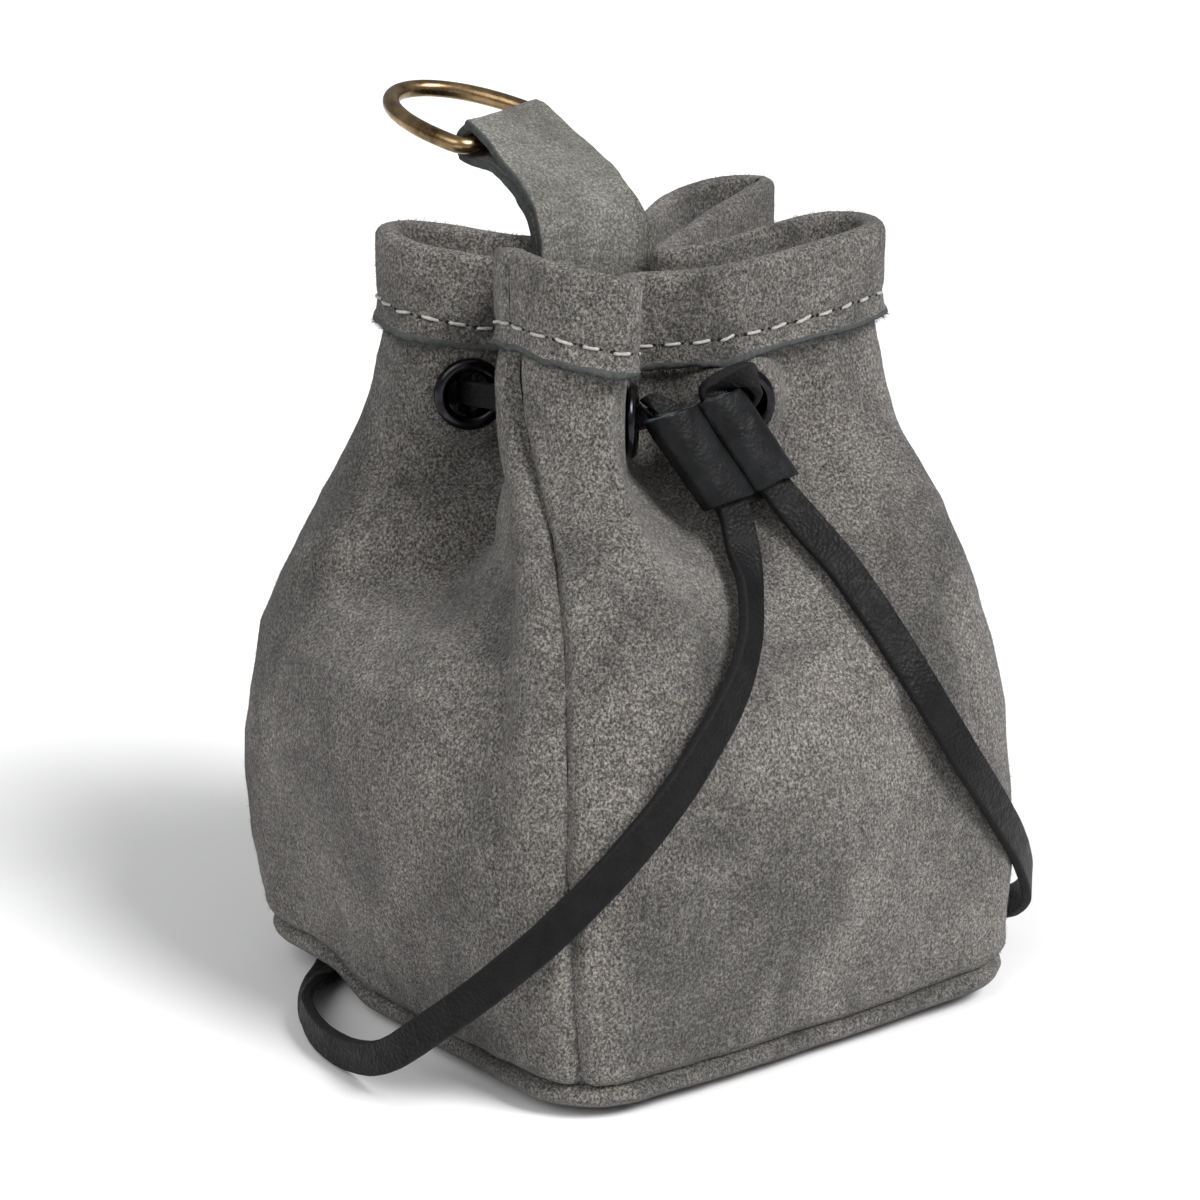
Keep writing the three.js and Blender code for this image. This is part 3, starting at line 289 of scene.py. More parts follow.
def thread_material(name, colour):
    m = Nodes(name)
    m.set(Sheen_Weight=0.3, Specular_IOR_Level=0.25)
    m.link(m.ramp(m.noise(2600, 3), [(0.3, tuple(c * 0.6 for c in colour)), (0.7, colour)]), "Base Color")
    m.link(m.ramp(m.noise(800), [(0.2, 0.6), (0.8, 0.9)]), "Roughness")
    m.link(m.bump(m.noise(5200, 2, 0.5, (1, 1, 0.3)), 0.0001, 0.6), "Normal")
    return m.material


def floor_material():
    m = Nodes("pale_floor")
    m.set(Specular_IOR_Level=0.2)
    m.link(m.ramp(m.noise(6, 2), [(0.3, 0.9), (0.7, 0.93)]), "Base Color")
    m.link(m.ramp(m.noise(9, 2), [(0.3, 0.8), (0.7, 0.9)]), "Roughness")
    return m.material


SUEDE = suede("grey_suede", (0.115, 0.108, 0.100))
SUEDE_BASE = suede("grey_suede_base", (0.110, 0.104, 0.096))
SUEDE_STRAP = suede("strap_suede", (0.135, 0.132, 0.118), 0.6)
SUEDE_EDGE = raw_edge("suede_raw_edge", (0.085, 0.09, 0.088))
THONG_FACE = black_leather("thong_leather", (0.0045, 0.0045, 0.005), 1.0, 0.5)
THONG_CUT = raw_edge("thong_cut_edge", (0.014, 0.014, 0.0145))
SLIDER_FACE = black_leather("slider_leather", (0.0065, 0.0067, 0.0072), 0.3, 0.36)
SLIDER_CUT = raw_edge("slider_cut_edge", (0.055, 0.072, 0.085))
EYELET_METAL = metal("black_eyelet_metal", (0.012, 0.012, 0.014), (0.04, 0.038, 0.043), 0.2, 300)
BRASS = metal("antique_brass", (0.07, 0.045, 0.022), (0.36, 0.245, 0.13), 0.26, 190)
THREAD = thread_material("pale_thread", (0.46, 0.45, 0.43))
# Near-black discs on the hem at the needle holes: painted shade for the holes' depth, as no hole is cut.
HOLE_SHADE = raw_edge("needle_hole_painted_shade", (0.012, 0.011, 0.010))


# ---------------------------------------------------------------- camera

CAMERA_TURN = math.radians(-37.55)
CAMERA_RISE = math.radians(16.85)
CAMERA_AWAY = 0.52
CAMERA_TARGET = Vector((0, 0, 0.055))
SENSOR_WIDTH = 36
LENS = 103.98
LENS_SHIFT = (-0.02775, 0.0233)


def make_camera():
    data = bpy.data.cameras.new("camera")
    data.sensor_width = SENSOR_WIDTH
    data.lens = LENS
    data.shift_x, data.shift_y = LENS_SHIFT
    data.clip_start = 0.01
    data.clip_end = 50
    camera = bpy.data.objects.new("camera", data)
    level = math.cos(CAMERA_RISE)
    away = Vector((math.sin(CAMERA_TURN) * level, -math.cos(CAMERA_TURN) * level, math.sin(CAMERA_RISE)))
    place = away * CAMERA_AWAY + CAMERA_TARGET
    camera.location = place
    camera.rotation_euler = (CAMERA_TARGET - place).to_track_quat("-Z", "Y").to_euler()
    bpy.context.scene.collection.objects.link(camera)
    bpy.context.scene.camera = camera


make_camera()


# ---------------------------------------------------------------- the outline of the pouch

# Points of the outline from one mark to the next.
DENSE = 96


def resample(line, count):
    """count points evenly spaced along a line, both ends included."""
    run = distances(line)
    s = np.linspace(0, run[-1], count)
    return np.stack([np.interp(s, run, line[:, k]) for k in range(line.shape[1])], axis=1)


def neck_table(at_rim):
    """The gathered outline, at the cord for 0 and at the rim for 1."""
    table = np.array(NECK_PLAN, float)
    points = table[:, :2] + at_rim * table[:, 2:]
    n = len(points)
    spans = []
    t = np.linspace(0, 1, 24, endpoint=False)[:, None]
    for i in range(n):
        p, q, r, s = (points[(i + k) % n] for k in (-1, 0, 1, 2))
        spans.append(0.5 * (
            2 * q + (r - p) * t + (2 * p - 5 * q + 4 * r - s) * t ** 2 + (3 * q - p - 3 * r + s) * t ** 3))
    table = []
    for m in range(MARKS):
        line = np.concatenate(spans[NECK_MARKS[m]:NECK_MARKS[m + 1]] + [points[NECK_MARKS[m + 1] % n][None]])
        table.append(resample(line, DENSE + 1)[:-1])
    return np.concatenate(table)


NECK = neck_table(0)
RIM_PLAN = neck_table(1)


def body_table(z):
    """The rounded square of the filled pouch at one height, before the neck gathers it."""
    grow, corner, bulge, lean = (np.interp(z, BODY_ROWS[:, 0], BODY_ROWS[:, k]) for k in (1, 2, 3, 4))
    half = BASE_HALF_SIDE + grow
    straight = half - corner

    def swell(along):
        return bulge * np.cos(np.minimum(1, np.abs(along) / half) * math.pi / 2) ** 2

    x = np.linspace(0, straight, 21)
    first = np.stack([x, -half - swell(x)], axis=1)
    t = np.linspace(0, math.pi / 2, 25)[1:]
    arc_y = -straight - corner * np.cos(t)
    arc = np.stack([straight + corner * np.sin(t) + swell(arc_y), arc_y], axis=1)
    y = np.linspace(-straight, 0, 21)[1:]
    last = np.stack([half + swell(y), y], axis=1)
    line = np.concatenate([first, arc, last])
    middle = 20 + 12
    halves = (line[:middle + 1], line[middle:])
    quarter = np.concatenate([resample(part, DENSE + 1)[:-1] for part in halves])
    out = []
    for q in range(4):
        c, s = math.cos(q * math.pi / 2), math.sin(q * math.pi / 2)
        out.append(quarter @ np.array([[c, s], [-s, c]]))
    return np.concatenate(out) + LEAN * lean


def plan(at, z):
    """Points of the outer face at places along the marks, from 0 to 8, at one height."""
    body = body_table(z)
    at = np.mod(np.asarray(at, float), MARKS)
    x = at * DENSE
    i = np.floor(x).astype(int)
    f = (x - i)[:, None]
    i %= MARKS * DENSE
    j = (i + 1) % (MARKS * DENSE)
    tip, valley, left = (np.interp(z, GATHER_ROWS[:, 0], GATHER_ROWS[:, k]) for k in (1, 2, 3))
    tipness = 0.5 - 0.5 * np.cos(math.pi * np.mod(at, 2))
    leftness = smooth(1.6 * np.maximum(0, 1 - np.abs(at - 6)))
    share = valley + (left - valley) * leftness
    share = (share + (tip - share) * tipness)[:, None]
    b = body[i] + (body[j] - body[i]) * f
    table = NECK + (RIM_PLAN - NECK) * smooth((z - CORD_HEIGHT - RIM_SHIFT_ABOVE_CORD) / RIM_SHIFT_OVER)
    n = table[i] + (table[j] - table[i]) * f
    return b + (n - b) * share


def corner_lift(p):
    """Lift of the base's left corner, under which the thong runs."""
    return CORNER_LIFT * smooth(((p[:, 1] - p[:, 0]) / math.sqrt(2) - CORNER_LIFT_FROM) / CORNER_LIFT_OVER)


def mark_value(values, at):
    """One of the values at each mark, blended between the marks."""
    at = np.mod(at, MARKS)
    i = np.floor(at).astype(int) % MARKS
    a, b = values[i], values[(i + 1) % MARKS]
    return a + (b - a) * smooth(at - np.floor(at))


def outwards(at, z):
    """Outward directions of the outline."""
    step = 0.045
    d = unit(plan(np.asarray(at) + step, z) - plan(np.asarray(at) - step, z))
    return np.stack([d[:, 1], -d[:, 0]], axis=1)


def wall_row(at, z, out):
    """A row of points of the wall, with the rim's rise, the base's lift and the outward directions."""
    p = plan(at, z)
    n = outwards(at, z)
    rim = mark_value(RIM, at) * min(1, max(0, (z - RIM_FADE_FROM) / RIM_FADE_OVER))
    fade = max(0, 1 - max(0, z - BASE_SEAM_HEIGHT) / LIFT_FADE_OVER)
    lift = (mark_value(LIFT, at) + corner_lift(p)) * fade
    q = p + n * np.asarray(out).reshape(-1, 1)
    return np.column_stack([q, z + rim + lift]), np.column_stack([n, np.zeros(len(n))])


# ---------------------------------------------------------------- eyelets

EYELETS = [
    ("eyelet_front_left", 7.72), ("eyelet_left_front", 6.36), ("eyelet_left_back", 5.64),
    ("eyelet_back_left", 4.4), ("eyelet_back_right", 3.62), ("eyelet_right_back", 2.33),
    ("eyelet_right_front", 1.69), ("eyelet_front_right", 0.29),
]
EYELET_FLANGE_RADIUS = 5.4
EYELET_HOLE_RADIUS = 3.3
EYELET_ROLL = 1.15
EYELET_BACK_ROLL = 0.8
EYELET_REACH = 4.0
# How the suede is pressed flat round an eyelet, and the hole punched for it.
PRESSED_RADIUS = 5.9
PRESSED_FADE = 3.4
PRESSED_DEPTH = 6.0
PUNCHED_RADIUS = 4.25
# Points of the outline from mark to mark that carry the eyelets' places.
COARSE = 8


def eyelet_seat(at):
    """An eyelet's middle, its outward direction and how far the wall reaches either way under it."""
    x = at * COARSE
    i = math.floor(x)
    ends = plan(np.array([i, i + 1, i - 1, i + 2]) / COARSE, CORD_HEIGHT)
    p = ends[0] + (ends[1] - ends[0]) * (x - i)
    d = unit(ends[3] - ends[2])
    point = np.array([p[0], p[1], CORD_HEIGHT])
    out = np.array([d[1], -d[0], 0.0])
    high = low = 0.0
    columns = np.arange(MARKS * COARSE) / COARSE
    for k in range(7):
        z = CORD_HEIGHT - 6 + 2 * k
        coarse = plan(columns, z)
        nexts = np.roll(coarse, -1, axis=0)
        for f in (0, 0.25, 0.5, 0.75):
            q = coarse + (nexts - coarse) * f
            d3 = np.column_stack([q, np.full(len(q), z)]) - point
            h = d3 @ out
            r = np.sqrt(np.maximum((d3 ** 2).sum(1) - h * h, 0))
            near = (r <= EYELET_FLANGE_RADIUS) & (np.abs(h) <= EYELET_REACH)
            if near.any():
                high = max(high, h[near].max())
                low = min(low, h[near].min())
    return {"at": at, "point": point, "out": out, "high": high, "low": low}


SEATS = {name: eyelet_seat(at) for name, at in EYELETS}


def lathe(profile, seat, sides=56):
    """A profile of (radius, height along the outward direction) turned about an eyelet's axis."""
    out = seat["out"]
    up = np.array([0, 0, 1.0])
    side = np.cross(up, out)
    t = circle(sides)
    rows = []
    for r, h in profile:
        rows.append(seat["point"] + out * h + r * (np.cos(t)[:, None] * side + np.sin(t)[:, None] * up))
    verts = np.concatenate(rows)
    return verts, grid_faces(len(profile), sides, wrap_rows=True, wrap_columns=True)


def make_eyelets():
    for name, _ in EYELETS:
        seat = SEATS[name]
        top = seat["high"] + GAP
        under = seat["low"] - WALL - GAP
        middle = (EYELET_FLANGE_RADIUS + EYELET_HOLE_RADIUS) / 2
        half = (EYELET_FLANGE_RADIUS - EYELET_HOLE_RADIUS) / 2
        profile = []
        for k in range(15):
            t = math.pi * k / 14
            profile.append((middle + half * math.cos(t), top + EYELET_ROLL * math.sin(t) ** 0.8))
        profile += [(EYELET_HOLE_RADIUS + 0.05, top - 0.5), (EYELET_HOLE_RADIUS + 0.05, under)]
        for k in range(9):
            t = math.pi * (1 - k / 8)
            profile.append((middle + half * 0.9 * math.cos(t), under - EYELET_BACK_ROLL * math.sin(t)))
        profile += [(EYELET_HOLE_RADIUS + 0.6, under + 0.1), (EYELET_HOLE_RADIUS + 0.6, top)]
        verts, faces = lathe(profile, seat)
        piece = make_object(name + "_rolled", verts, faces, [EYELET_METAL])
        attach(piece, "pouch")
        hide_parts(name)


make_eyelets()


# ---------------------------------------------------------------- flat thong and strap

THONG_WIDTH = 5.0
THONG_NECK_WIDTH = 3.6
THONG_THICKNESS = 1.6
THONG_ROUGH = 0.06
# Steps round each edge of a flat section.
EDGE_STEPS = 3


def catmull(points, per_span):
    """A smooth line through the points."""
    p = np.asarray(points, float)
    q = np.concatenate([[2 * p[0] - p[1]], p, [2 * p[-1] - p[-2]]])
    out = []
    t = np.linspace(0, 1, per_span, endpoint=False)[:, None]
    for i in range(len(p) - 1):
        p0, p1, p2, p3 = q[i:i + 4]
        v1, v2 = 0.5 * (p2 - p0), 0.5 * (p3 - p1)
        out.append(
            (2 * p1 - 2 * p2 + v1 + v2) * t ** 3 + (-3 * p1 + 3 * p2 - 2 * v1 - v2) * t ** 2 + v1 * t + p1)
    out.append(p[-1][None])
    return np.concatenate(out)


def flat_path(points, widths, count):
    """Centres, width directions, thickness directions and distances along, evenly spaced."""
    line = catmull(points, 40)
    w = np.asarray(widths, float)
    u = np.linspace(0, len(w) - 1, len(line))
    k = np.minimum(np.floor(u).astype(int), len(w) - 2)
    wide = w[k] + (w[k + 1] - w[k]) * (u - k)[:, None]
    run = distances(line)
    s = np.linspace(0, run[-1], count)
    centre = np.stack([np.interp(s, run, line[:, j]) for j in range(3)], axis=1)
    wide = np.stack([np.interp(s, run, wide[:, j]) for j in range(3)], axis=1)
    tangent = unit(np.gradient(centre, axis=0))
    wide = unit(wide - tangent * (wide * tangent).sum(1)[:, None])
    return centre, wide, unit(np.cross(wide, tangent)), s


def strip_section(width, thickness, across=8):
    """Loop of a flat section as (thickness, width) pairs, with a mark for the points of the cut edges."""
    w, t, r = width / 2, thickness / 2, min(0.45, thickness * 0.3)
    half = [(t, x, False) for x in np.linspace(-w + r, w - r, across + 1)]
    turns = [math.pi / 2 * k / (EDGE_STEPS + 1) for k in range(1, EDGE_STEPS + 1)]
    for a in turns[::-1]:
        half.append((t - r + r * math.sin(a), w - r + r * math.cos(a), True))
    half += [(t - r, w, True), (0, w, True), (-t + r, w, True)]
    for a in turns:
        half.append((-t + r - r * math.sin(a), w - r + r * math.cos(a), True))
    loop = half + [(-a, -b, cut) for a, b, cut in half]
    return np.array([p[:2] for p in loop], float), np.array([p[2] for p in loop])


def sweep(centre, wide, thick, section):
    """The section carried along a path, as a grid of points and its quads."""
    verts = (centre[:, None, :] + thick[:, None, :] * section[None, :, :1]
             + wide[:, None, :] * section[None, :, 1:2])
    rows, columns = verts.shape[:2]
    faces = grid_faces(rows, columns, wrap_columns=True)[:, ::-1]
    return verts, faces


def close_strip(faces, rows, columns, cut):
    """Faces of a swept strip with its ends closed, and a 1 for each that lies on a cut edge or end."""
    column = np.tile(np.arange(columns), rows - 1)
    index = list(np.where(cut[column] & cut[(column + 1) % columns], 1, 0))
    ends = [tuple(range(columns)), tuple((rows - 1) * columns + k for k in range(columns - 1, -1, -1))]
    return [tuple(f) for f in faces] + ends, index + [1, 1]


def strip_piece(name, path, width, thickness, face, cut, rough, seed):
    """A slightly uneven flat thong, with its cut edges in a second material."""
    centre, wide, thick, _ = path
    section, is_cut = strip_section(width, thickness)
    verts, faces = sweep(centre, wide, thick, section)
    rows, columns = verts.shape[:2]
    flat = verts.reshape(-1, 3)
    out = unit(np.repeat(centre[:, None, :], columns, 1).reshape(-1, 3) - flat) * -1
    flat = flat + out * (noise(flat, 5.0, seed) * rough + noise(flat, 1.4, seed + 9) * rough * 0.5)[:, None]
    faces, index = close_strip(faces, rows, columns, is_cut)
    return make_object(name, flat, faces, [face, cut], index)


SLIDER_TOP = np.array([-4.3, -19.5, 93.4])
SLIDER_DOWN = unit([0.42, -0.36, -0.83])
SLIDER_ACROSS = unit([0.985, -0.04, 0.17])
SLIDER_OUT = unit(np.cross(SLIDER_DOWN, SLIDER_ACROSS))
SLIDER_PITCH = 8.2
SLIDER_LENGTH = 15.0
TUBE_HALF_WIDTH = 4.25
TUBE_HALF_THICKNESS = 2.45
BORE_HALF_WIDTH = 3.12
BORE_HALF_THICKNESS = 1.32
# Rolled lips of a tube: distance past its end, half width, half thickness and squareness.
LOWER_LIP = ((0.12, 4.05, 2.25, 2.3), (0.14, 3.5, 1.65, 2.5), (0, 3.2, 1.4, 2.8))
UPPER_LIP = ((0, 3.2, 1.4, 2.8), (0.14, 3.5, 1.65, 2.5), (0.12, 3.95, 2.15, 2.3))
TONGUE_WIDTH = 7.4
TONGUE_THICKNESS = 0.95
TONGUE_BEHIND = 1.75


def in_tube(side, down):
    """A point on a tube's axis, side -1 or 1, so far below its top."""
    return SLIDER_TOP + SLIDER_ACROSS * side * SLIDER_PITCH / 2 + SLIDER_DOWN * down


UP = (0, 0, 1)


def seat_of(name, out):
    """A point on an eyelet's axis, so far out from the wall's face."""
    return SEATS[name]["point"] + SEATS[name]["out"] * out


# Points and width directions of the thong: through the eyelets, and outside from tube to tube.
NECK_ROUTE = [
    (in_tube(-1, 7), SLIDER_ACROSS), (in_tube(-1, 3), SLIDER_ACROSS), (in_tube(-1, 0), SLIDER_ACROSS),
    ((-10.52, -18.1, 93.94), (0.8, 0, 0.6)), ((-11.46, -17.79, 92.77), (0.2, 0, 1)),
    (seat_of("eyelet_front_left", 1.5), UP), (seat_of("eyelet_front_left", -2.5), UP),
    ((-17.8, -8.5, 91.7), UP),
    ((-16.8, -3, 91.7), UP), (seat_of("eyelet_left_front", -WALL / 2), UP), ((-18.8, 7.6, 91.7), UP),
    (seat_of("eyelet_left_back", -WALL / 2), UP), ((-17.2, 17.6, 91.7), UP), ((-13.6, 19.8, 91.7), UP),
    (seat_of("eyelet_back_left", 0), UP), (seat_of("eyelet_back_left", 3.2), UP), ((-3.4, 22.4, 91.7), UP),
    ((0.6, 20.2, 91.7), UP), ((4.6, 19.4, 91.7), UP), ((8.8, 20.8, 91.7), UP), ((12.6, 23, 91.7), UP),
    (seat_of("eyelet_back_right", 3.2), UP), (seat_of("eyelet_back_right", -WALL / 2), UP),
    ((18.2, 14.8, 91.7), UP), (seat_of("eyelet_right_back", -3.2), UP),
    (seat_of("eyelet_right_back", 0.6), UP),
    (seat_of("eyelet_right_front", -WALL / 2), UP), ((14.6, -7.2, 91.7), UP), ((10.4, -10.6, 91.7), UP),
    (seat_of("eyelet_front_right", -WALL / 2), UP), (seat_of("eyelet_front_right", 2.4), UP),
    ((6.15, -20.35, 95.31), (-0.2, 0, 1)), ((3.3, -21.46, 97.31), (-0.6, 0, 0.8)),
    (in_tube(1, -1.4), -SLIDER_ACROSS), (in_tube(1, 2.5), -SLIDER_ACROSS), (in_tube(1, 7), -SLIDER_ACROSS),
]
LOOP_ROUTE = [
    (in_tube(-1, 7.4), SLIDER_ACROSS), (in_tube(-1, 11), SLIDER_ACROSS),
    (in_tube(-1, SLIDER_LENGTH + 1.2), SLIDER_ACROSS), ((-1.9, -28.0, 73.8), (0.95, -0.3, -0.08)),
    ((-4.9, -33.4, 69.1), (0.75, 0, -0.67)), ((-10.4, -40.0, 64.4), (0.59, 0.06, -0.8)),
    ((-16.6, -44.6, 59.7), (0.61, 0.03, -0.79)), ((-22.9, -46.8, 54.4), (0.68, -0.07, -0.73)),
    ((-30.0, -47.6, 47.6), (0.69, -0.16, -0.7)), ((-38.2, -46.0, 39.2), (0.64, -0.33, -0.69)),
    ((-45.6, -41.4, 30.2), (0.49, -0.51, -0.7)), ((-51.3, -34.2, 21.4), (0.32, -0.6, -0.74)),
    ((-55.0, -25.6, 13.4), (0.16, -0.61, -0.78)), ((-56.8, -16.8, 6.6), (-0.05, 0, -1)),
    ((-56.6, -7.8, 3.4), (0, 0, -1)), ((-55.8, 1.6, 2.75), (0, 0, -1)), ((-52.4, 11.2, 2.75), (0, 0, -1)),
    ((-47.2, 18.4, 2.3), (-0.5, 0.3, -0.8)), ((-42.4, 23.2, 1.4), (-0.75, 0.62, -0.2)),
    ((-37.8, 27.4, 1.0), (-0.76, 0.65, 0)), ((-33.6, 32.4, 0.95), (-0.8, 0.6, 0)),
    ((-30.0, 38.6, 0.95), (-0.87, 0.5, 0)), ((-26.2, 45.4, 1.0), (-0.85, 0.52, 0)),
    ((-20.0, 51.2, 1.3), (-0.68, 0.72, 0.12)), ((-8.6, 55.6, 2.0), (-0.3, 0.9, 0.4)),
    ((8.0, 57.0, 2.65), (0, 0.5, 0.86)), ((26.0, 55.8, 2.6), (0, 0, 1)), ((42.6, 49.4, 2.7), (0, 0, 1)),
    ((53.0, 35.6, 2.7), (0, 0, 1)), ((56.8, 18.0, 2.7), (0, 0, 1)), ((57.4, 0.0, 2.7), (0, 0, 1)),
    ((56.6, -14.4, 2.9), (0, 0, 1)), ((54.8, -25.2, 5.8), (0.1, 0, 1)),
    ((49.9, -34.6, 12.4), (0.4, 0.46, 0.79)),
    ((41.6, -41.6, 22.0), (0.6, 0.35, 0.73)), ((32.4, -46.0, 32.2), (0.71, 0.18, 0.68)),
    ((23.6, -48.4, 42.4), (0.8, 0.08, 0.59)), ((16.6, -47.0, 53.6), (0.9, 0.04, 0.44)),
    ((13.0, -41.2, 63.4), (0.94, -0.05, 0.34)), ((11.0, -34.8, 70.6), (0.91, -0.11, 0.4)),
    ((8.9, -29.2, 76.0), (0.83, -0.17, 0.53)), (in_tube(1, SLIDER_LENGTH + 1.2), SLIDER_ACROSS),
    (in_tube(1, 11), SLIDER_ACROSS), (in_tube(1, 7.4), SLIDER_ACROSS),
]


def make_thong():
    path = flat_path([p for p, _ in LOOP_ROUTE], [w for _, w in LOOP_ROUTE], 700)
    loop = strip_piece(
        "thong_loop", path, THONG_WIDTH, THONG_THICKNESS, THONG_FACE, THONG_CUT, THONG_ROUGH, 3)
    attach(loop, "pouch")
    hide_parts("drawstring_loop")
    path = flat_path([p for p, _ in NECK_ROUTE], [w for _, w in NECK_ROUTE], 420)
    neck = strip_piece(
        "thong_neck", path, THONG_NECK_WIDTH, THONG_THICKNESS, THONG_FACE, THONG_CUT, THONG_ROUGH, 4)
    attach(neck, "pouch")
    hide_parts("drawstring_neck")


make_thong()


# ---------------------------------------------------------------- wall panels

# Columns of a wall from one mark to the next.
COLUMNS = 62
PLEAT_AT = 6.60
PLEAT_EDGE_AT = 6.84
HOLLOW_FROM = 5.05
HOLLOW_TO = 6.6
HOLLOW_FADE = 0.3
# Fibres: the rows that carry them, how many, their length and their material.
NAP = (("outer", 20000, 0.75, 0), ("hem", 7000, 0.75, 0), ("raw", 9000, 1.0, 1))
NAP_CLEAR_OF_EYELETS = 8.5


def wall_section():
    """Rows of the wall as (height, outward distance, kind), from the bottom up and over the hem."""
    low = BASE_SEAM_HEIGHT + 0.1
    rows = [(low, -1.5, "edge"), (low, -0.6, "outer")]
    for z in np.linspace(low + 0.1, 12, 16):
        rows.append((z, 0, "outer"))
    for z in np.linspace(12.5, HEM_EDGE - 0.6, 150):
        rows.append((z, 0, "outer"))
    rows += [
        (HEM_EDGE + 0.3, 0.0, "tuck"), (HEM_EDGE + 1.1, 0.0, "tuck"), (HEM_EDGE + 1.3, 0.15, "raw"),
        (HEM_EDGE + 0.7, 0.35, "raw"), (HEM_EDGE + 0.15, 0.6, "raw"), (HEM_EDGE - 0.1, 1.0, "raw"),
        (HEM_EDGE - 0.05, 1.45, "raw"), (HEM_EDGE + 0.3, 1.75, "raw"), (HEM_EDGE + 0.9, 1.75, "hem"),
    ]
    for z in np.linspace(HEM_EDGE + 1.4, POUCH_HEIGHT - 2.1, 26):
        rows.append((z, HEM_LAYER, "hem"))
    radius, middle = (HEM_LAYER + WALL) / 2, (HEM_LAYER - WALL) / 2
    for k in range(13):
        t = math.pi * k / 12
        kind = "hem" if k < 9 else "inner"
        rows.append((POUCH_HEIGHT - radius + radius * math.sin(t), middle + radius * math.cos(t), kind))
    for z in np.linspace(POUCH_HEIGHT - 2.6, 6.2, 62):
        rows.append((z, -WALL, "inner"))
    rows.append((low + 0.1, -WALL, "inner"))
    return rows


SECTION = wall_section()


def bell(x, width):
    """A soft bump of height 1."""
    return np.exp(-((x / width) ** 2))


def left_folds(at, z):
    """Groove beside the front pleat, the pleat's edge, and the crest under the left hollow."""
    pleat = bell(at - PLEAT_AT, 0.19) * math.exp(-(((z - 64) / 21) ** 4))
    edge = bell(at - PLEAT_EDGE_AT, 0.10) * math.exp(-(((z - 66) / 24) ** 4))
    line = 73 + (at - 5.4) * 11
    reach = smooth((at - HOLLOW_FROM) / HOLLOW_FADE) * smooth((HOLLOW_TO - at) / HOLLOW_FADE)
    crest = reach * (2.0 * bell(z - line + 3, 6.5) - 2.2 * bell(z - line - 9, 6.0))
    return crest - 3.1 * pleat + 0.8 * edge


def make_panel(name, node, first, last, seed):
    """A wall with its hem, between two marks; returns its grid of points and their places."""
    at = np.linspace(first, last, (last - first) * COLUMNS + 1)
    rows = []
    for z, out, kind in SECTION:
        p, n = wall_row(at, z, np.full(len(at), out))
        run = distances(p[:, :2])
        from_seam = np.minimum(run, run[-1] - run)
        d = np.zeros(len(at))
        if kind in ("outer", "tuck", "inner"):
            d += 0.45 * noise(p, 15, seed) + 0.22 * noise(p, 6.5, seed + 1)
            gather = float(smooth((z - 52) / 25))
            d += gather * 0.5 * noise(p, (6, 6, 30), seed + 2)
            d += left_folds(at, z)
        if kind == "outer":
            d += 0.07 * noise(p, 2.2, seed + 3)
            pull = 1 + 0.35 * noise(p, (3, 3, 3.4), seed + 4)
            d -= 1.25 * pull * np.exp(-((from_seam / 0.95) ** 1.3))
            d += 0.35 * np.exp(-(((from_seam - 2.3) / 1.3) ** 2))
            low = z - BASE_SEAM_HEIGHT
            d -= 1.1 * (1 + 0.4 * noise(p, (4, 4, 9), seed + 5)) * math.exp(-((low / 0.9) ** 1.2))
            d += 0.3 * math.exp(-(((low - 2.2) / 1.4) ** 2))
        if kind == "hem":
            d += 0.22 * noise(p, 8, seed + 6) + 0.1 * noise(p, 2.6, seed + 7)
            above = z - HEM_EDGE - STITCH_ABOVE_EDGE
            d -= (0.34 + 0.16 * np.cos(2 * math.pi * run / STITCH_PITCH)) * math.exp(-((above / 0.75) ** 2))
            d -= 0.3 * np.exp(-((from_seam / 0.5) ** 2))
        if kind == "raw":
            torn = 0.42 * noise(p, 3.1, seed + 8) + 0.22 * noise(p, 0.9, seed + 9)
            p[:, 2] += torn
            d += 0.2 * noise(p, 6, seed + 6) + 0.12 * noise(p, 1.1, seed + 10)
        if kind == "hem" and z < HEM_EDGE + 2:
            p[:, 2] += 0.35 * noise(p, 3.1, seed + 8)
        rows.append(p + n * d[:, None])
    verts = np.stack(rows)
    kinds = np.array([s[2] for s in SECTION])
    keep = np.ones((len(SECTION), len(at)), bool)
    for seat in SEATS.values():
        near = np.abs((at - seat["at"] + MARKS / 2) % MARKS - MARKS / 2) < 0.8
        if not near.any():
            continue
        d = verts[:, near] - seat["point"]
        h = d @ seat["out"]
        flat = d - h[..., None] * seat["out"]
        r = np.linalg.norm(flat, axis=-1)
        inner = (kinds == "inner")[:, None]
        goal = np.where(inner, seat["low"] - WALL + 0.1, seat["high"] - 0.05)
        w = smooth(1 - (r - PRESSED_RADIUS) / PRESSED_FADE) * (np.abs(h) < PRESSED_DEPTH)
        verts[:, near] += (w * (goal - h))[..., None] * seat["out"]
        hole = (r < PUNCHED_RADIUS) & (np.abs(h) < PRESSED_DEPTH)
        keep[:, near] &= ~hole
    columns = len(at)
    faces = grid_faces(len(SECTION), columns, wrap_rows=True)
    kept = keep.reshape(-1)
    faces = faces[kept[faces].any(axis=1)]
    index = np.where(kinds[faces[:, 0] // columns] == "raw", 1, 0)
    piece = make_object(name, verts.reshape(-1, 3), faces, [SUEDE, SUEDE_EDGE], index)
    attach(piece, "pouch")
    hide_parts(node)
    return verts, at


front_grid, front_at = make_panel("suede_front", "panel_front", 7, 11, 11)
back_grid, back_at = make_panel("suede_back", "panel_back", 3, 7, 41)


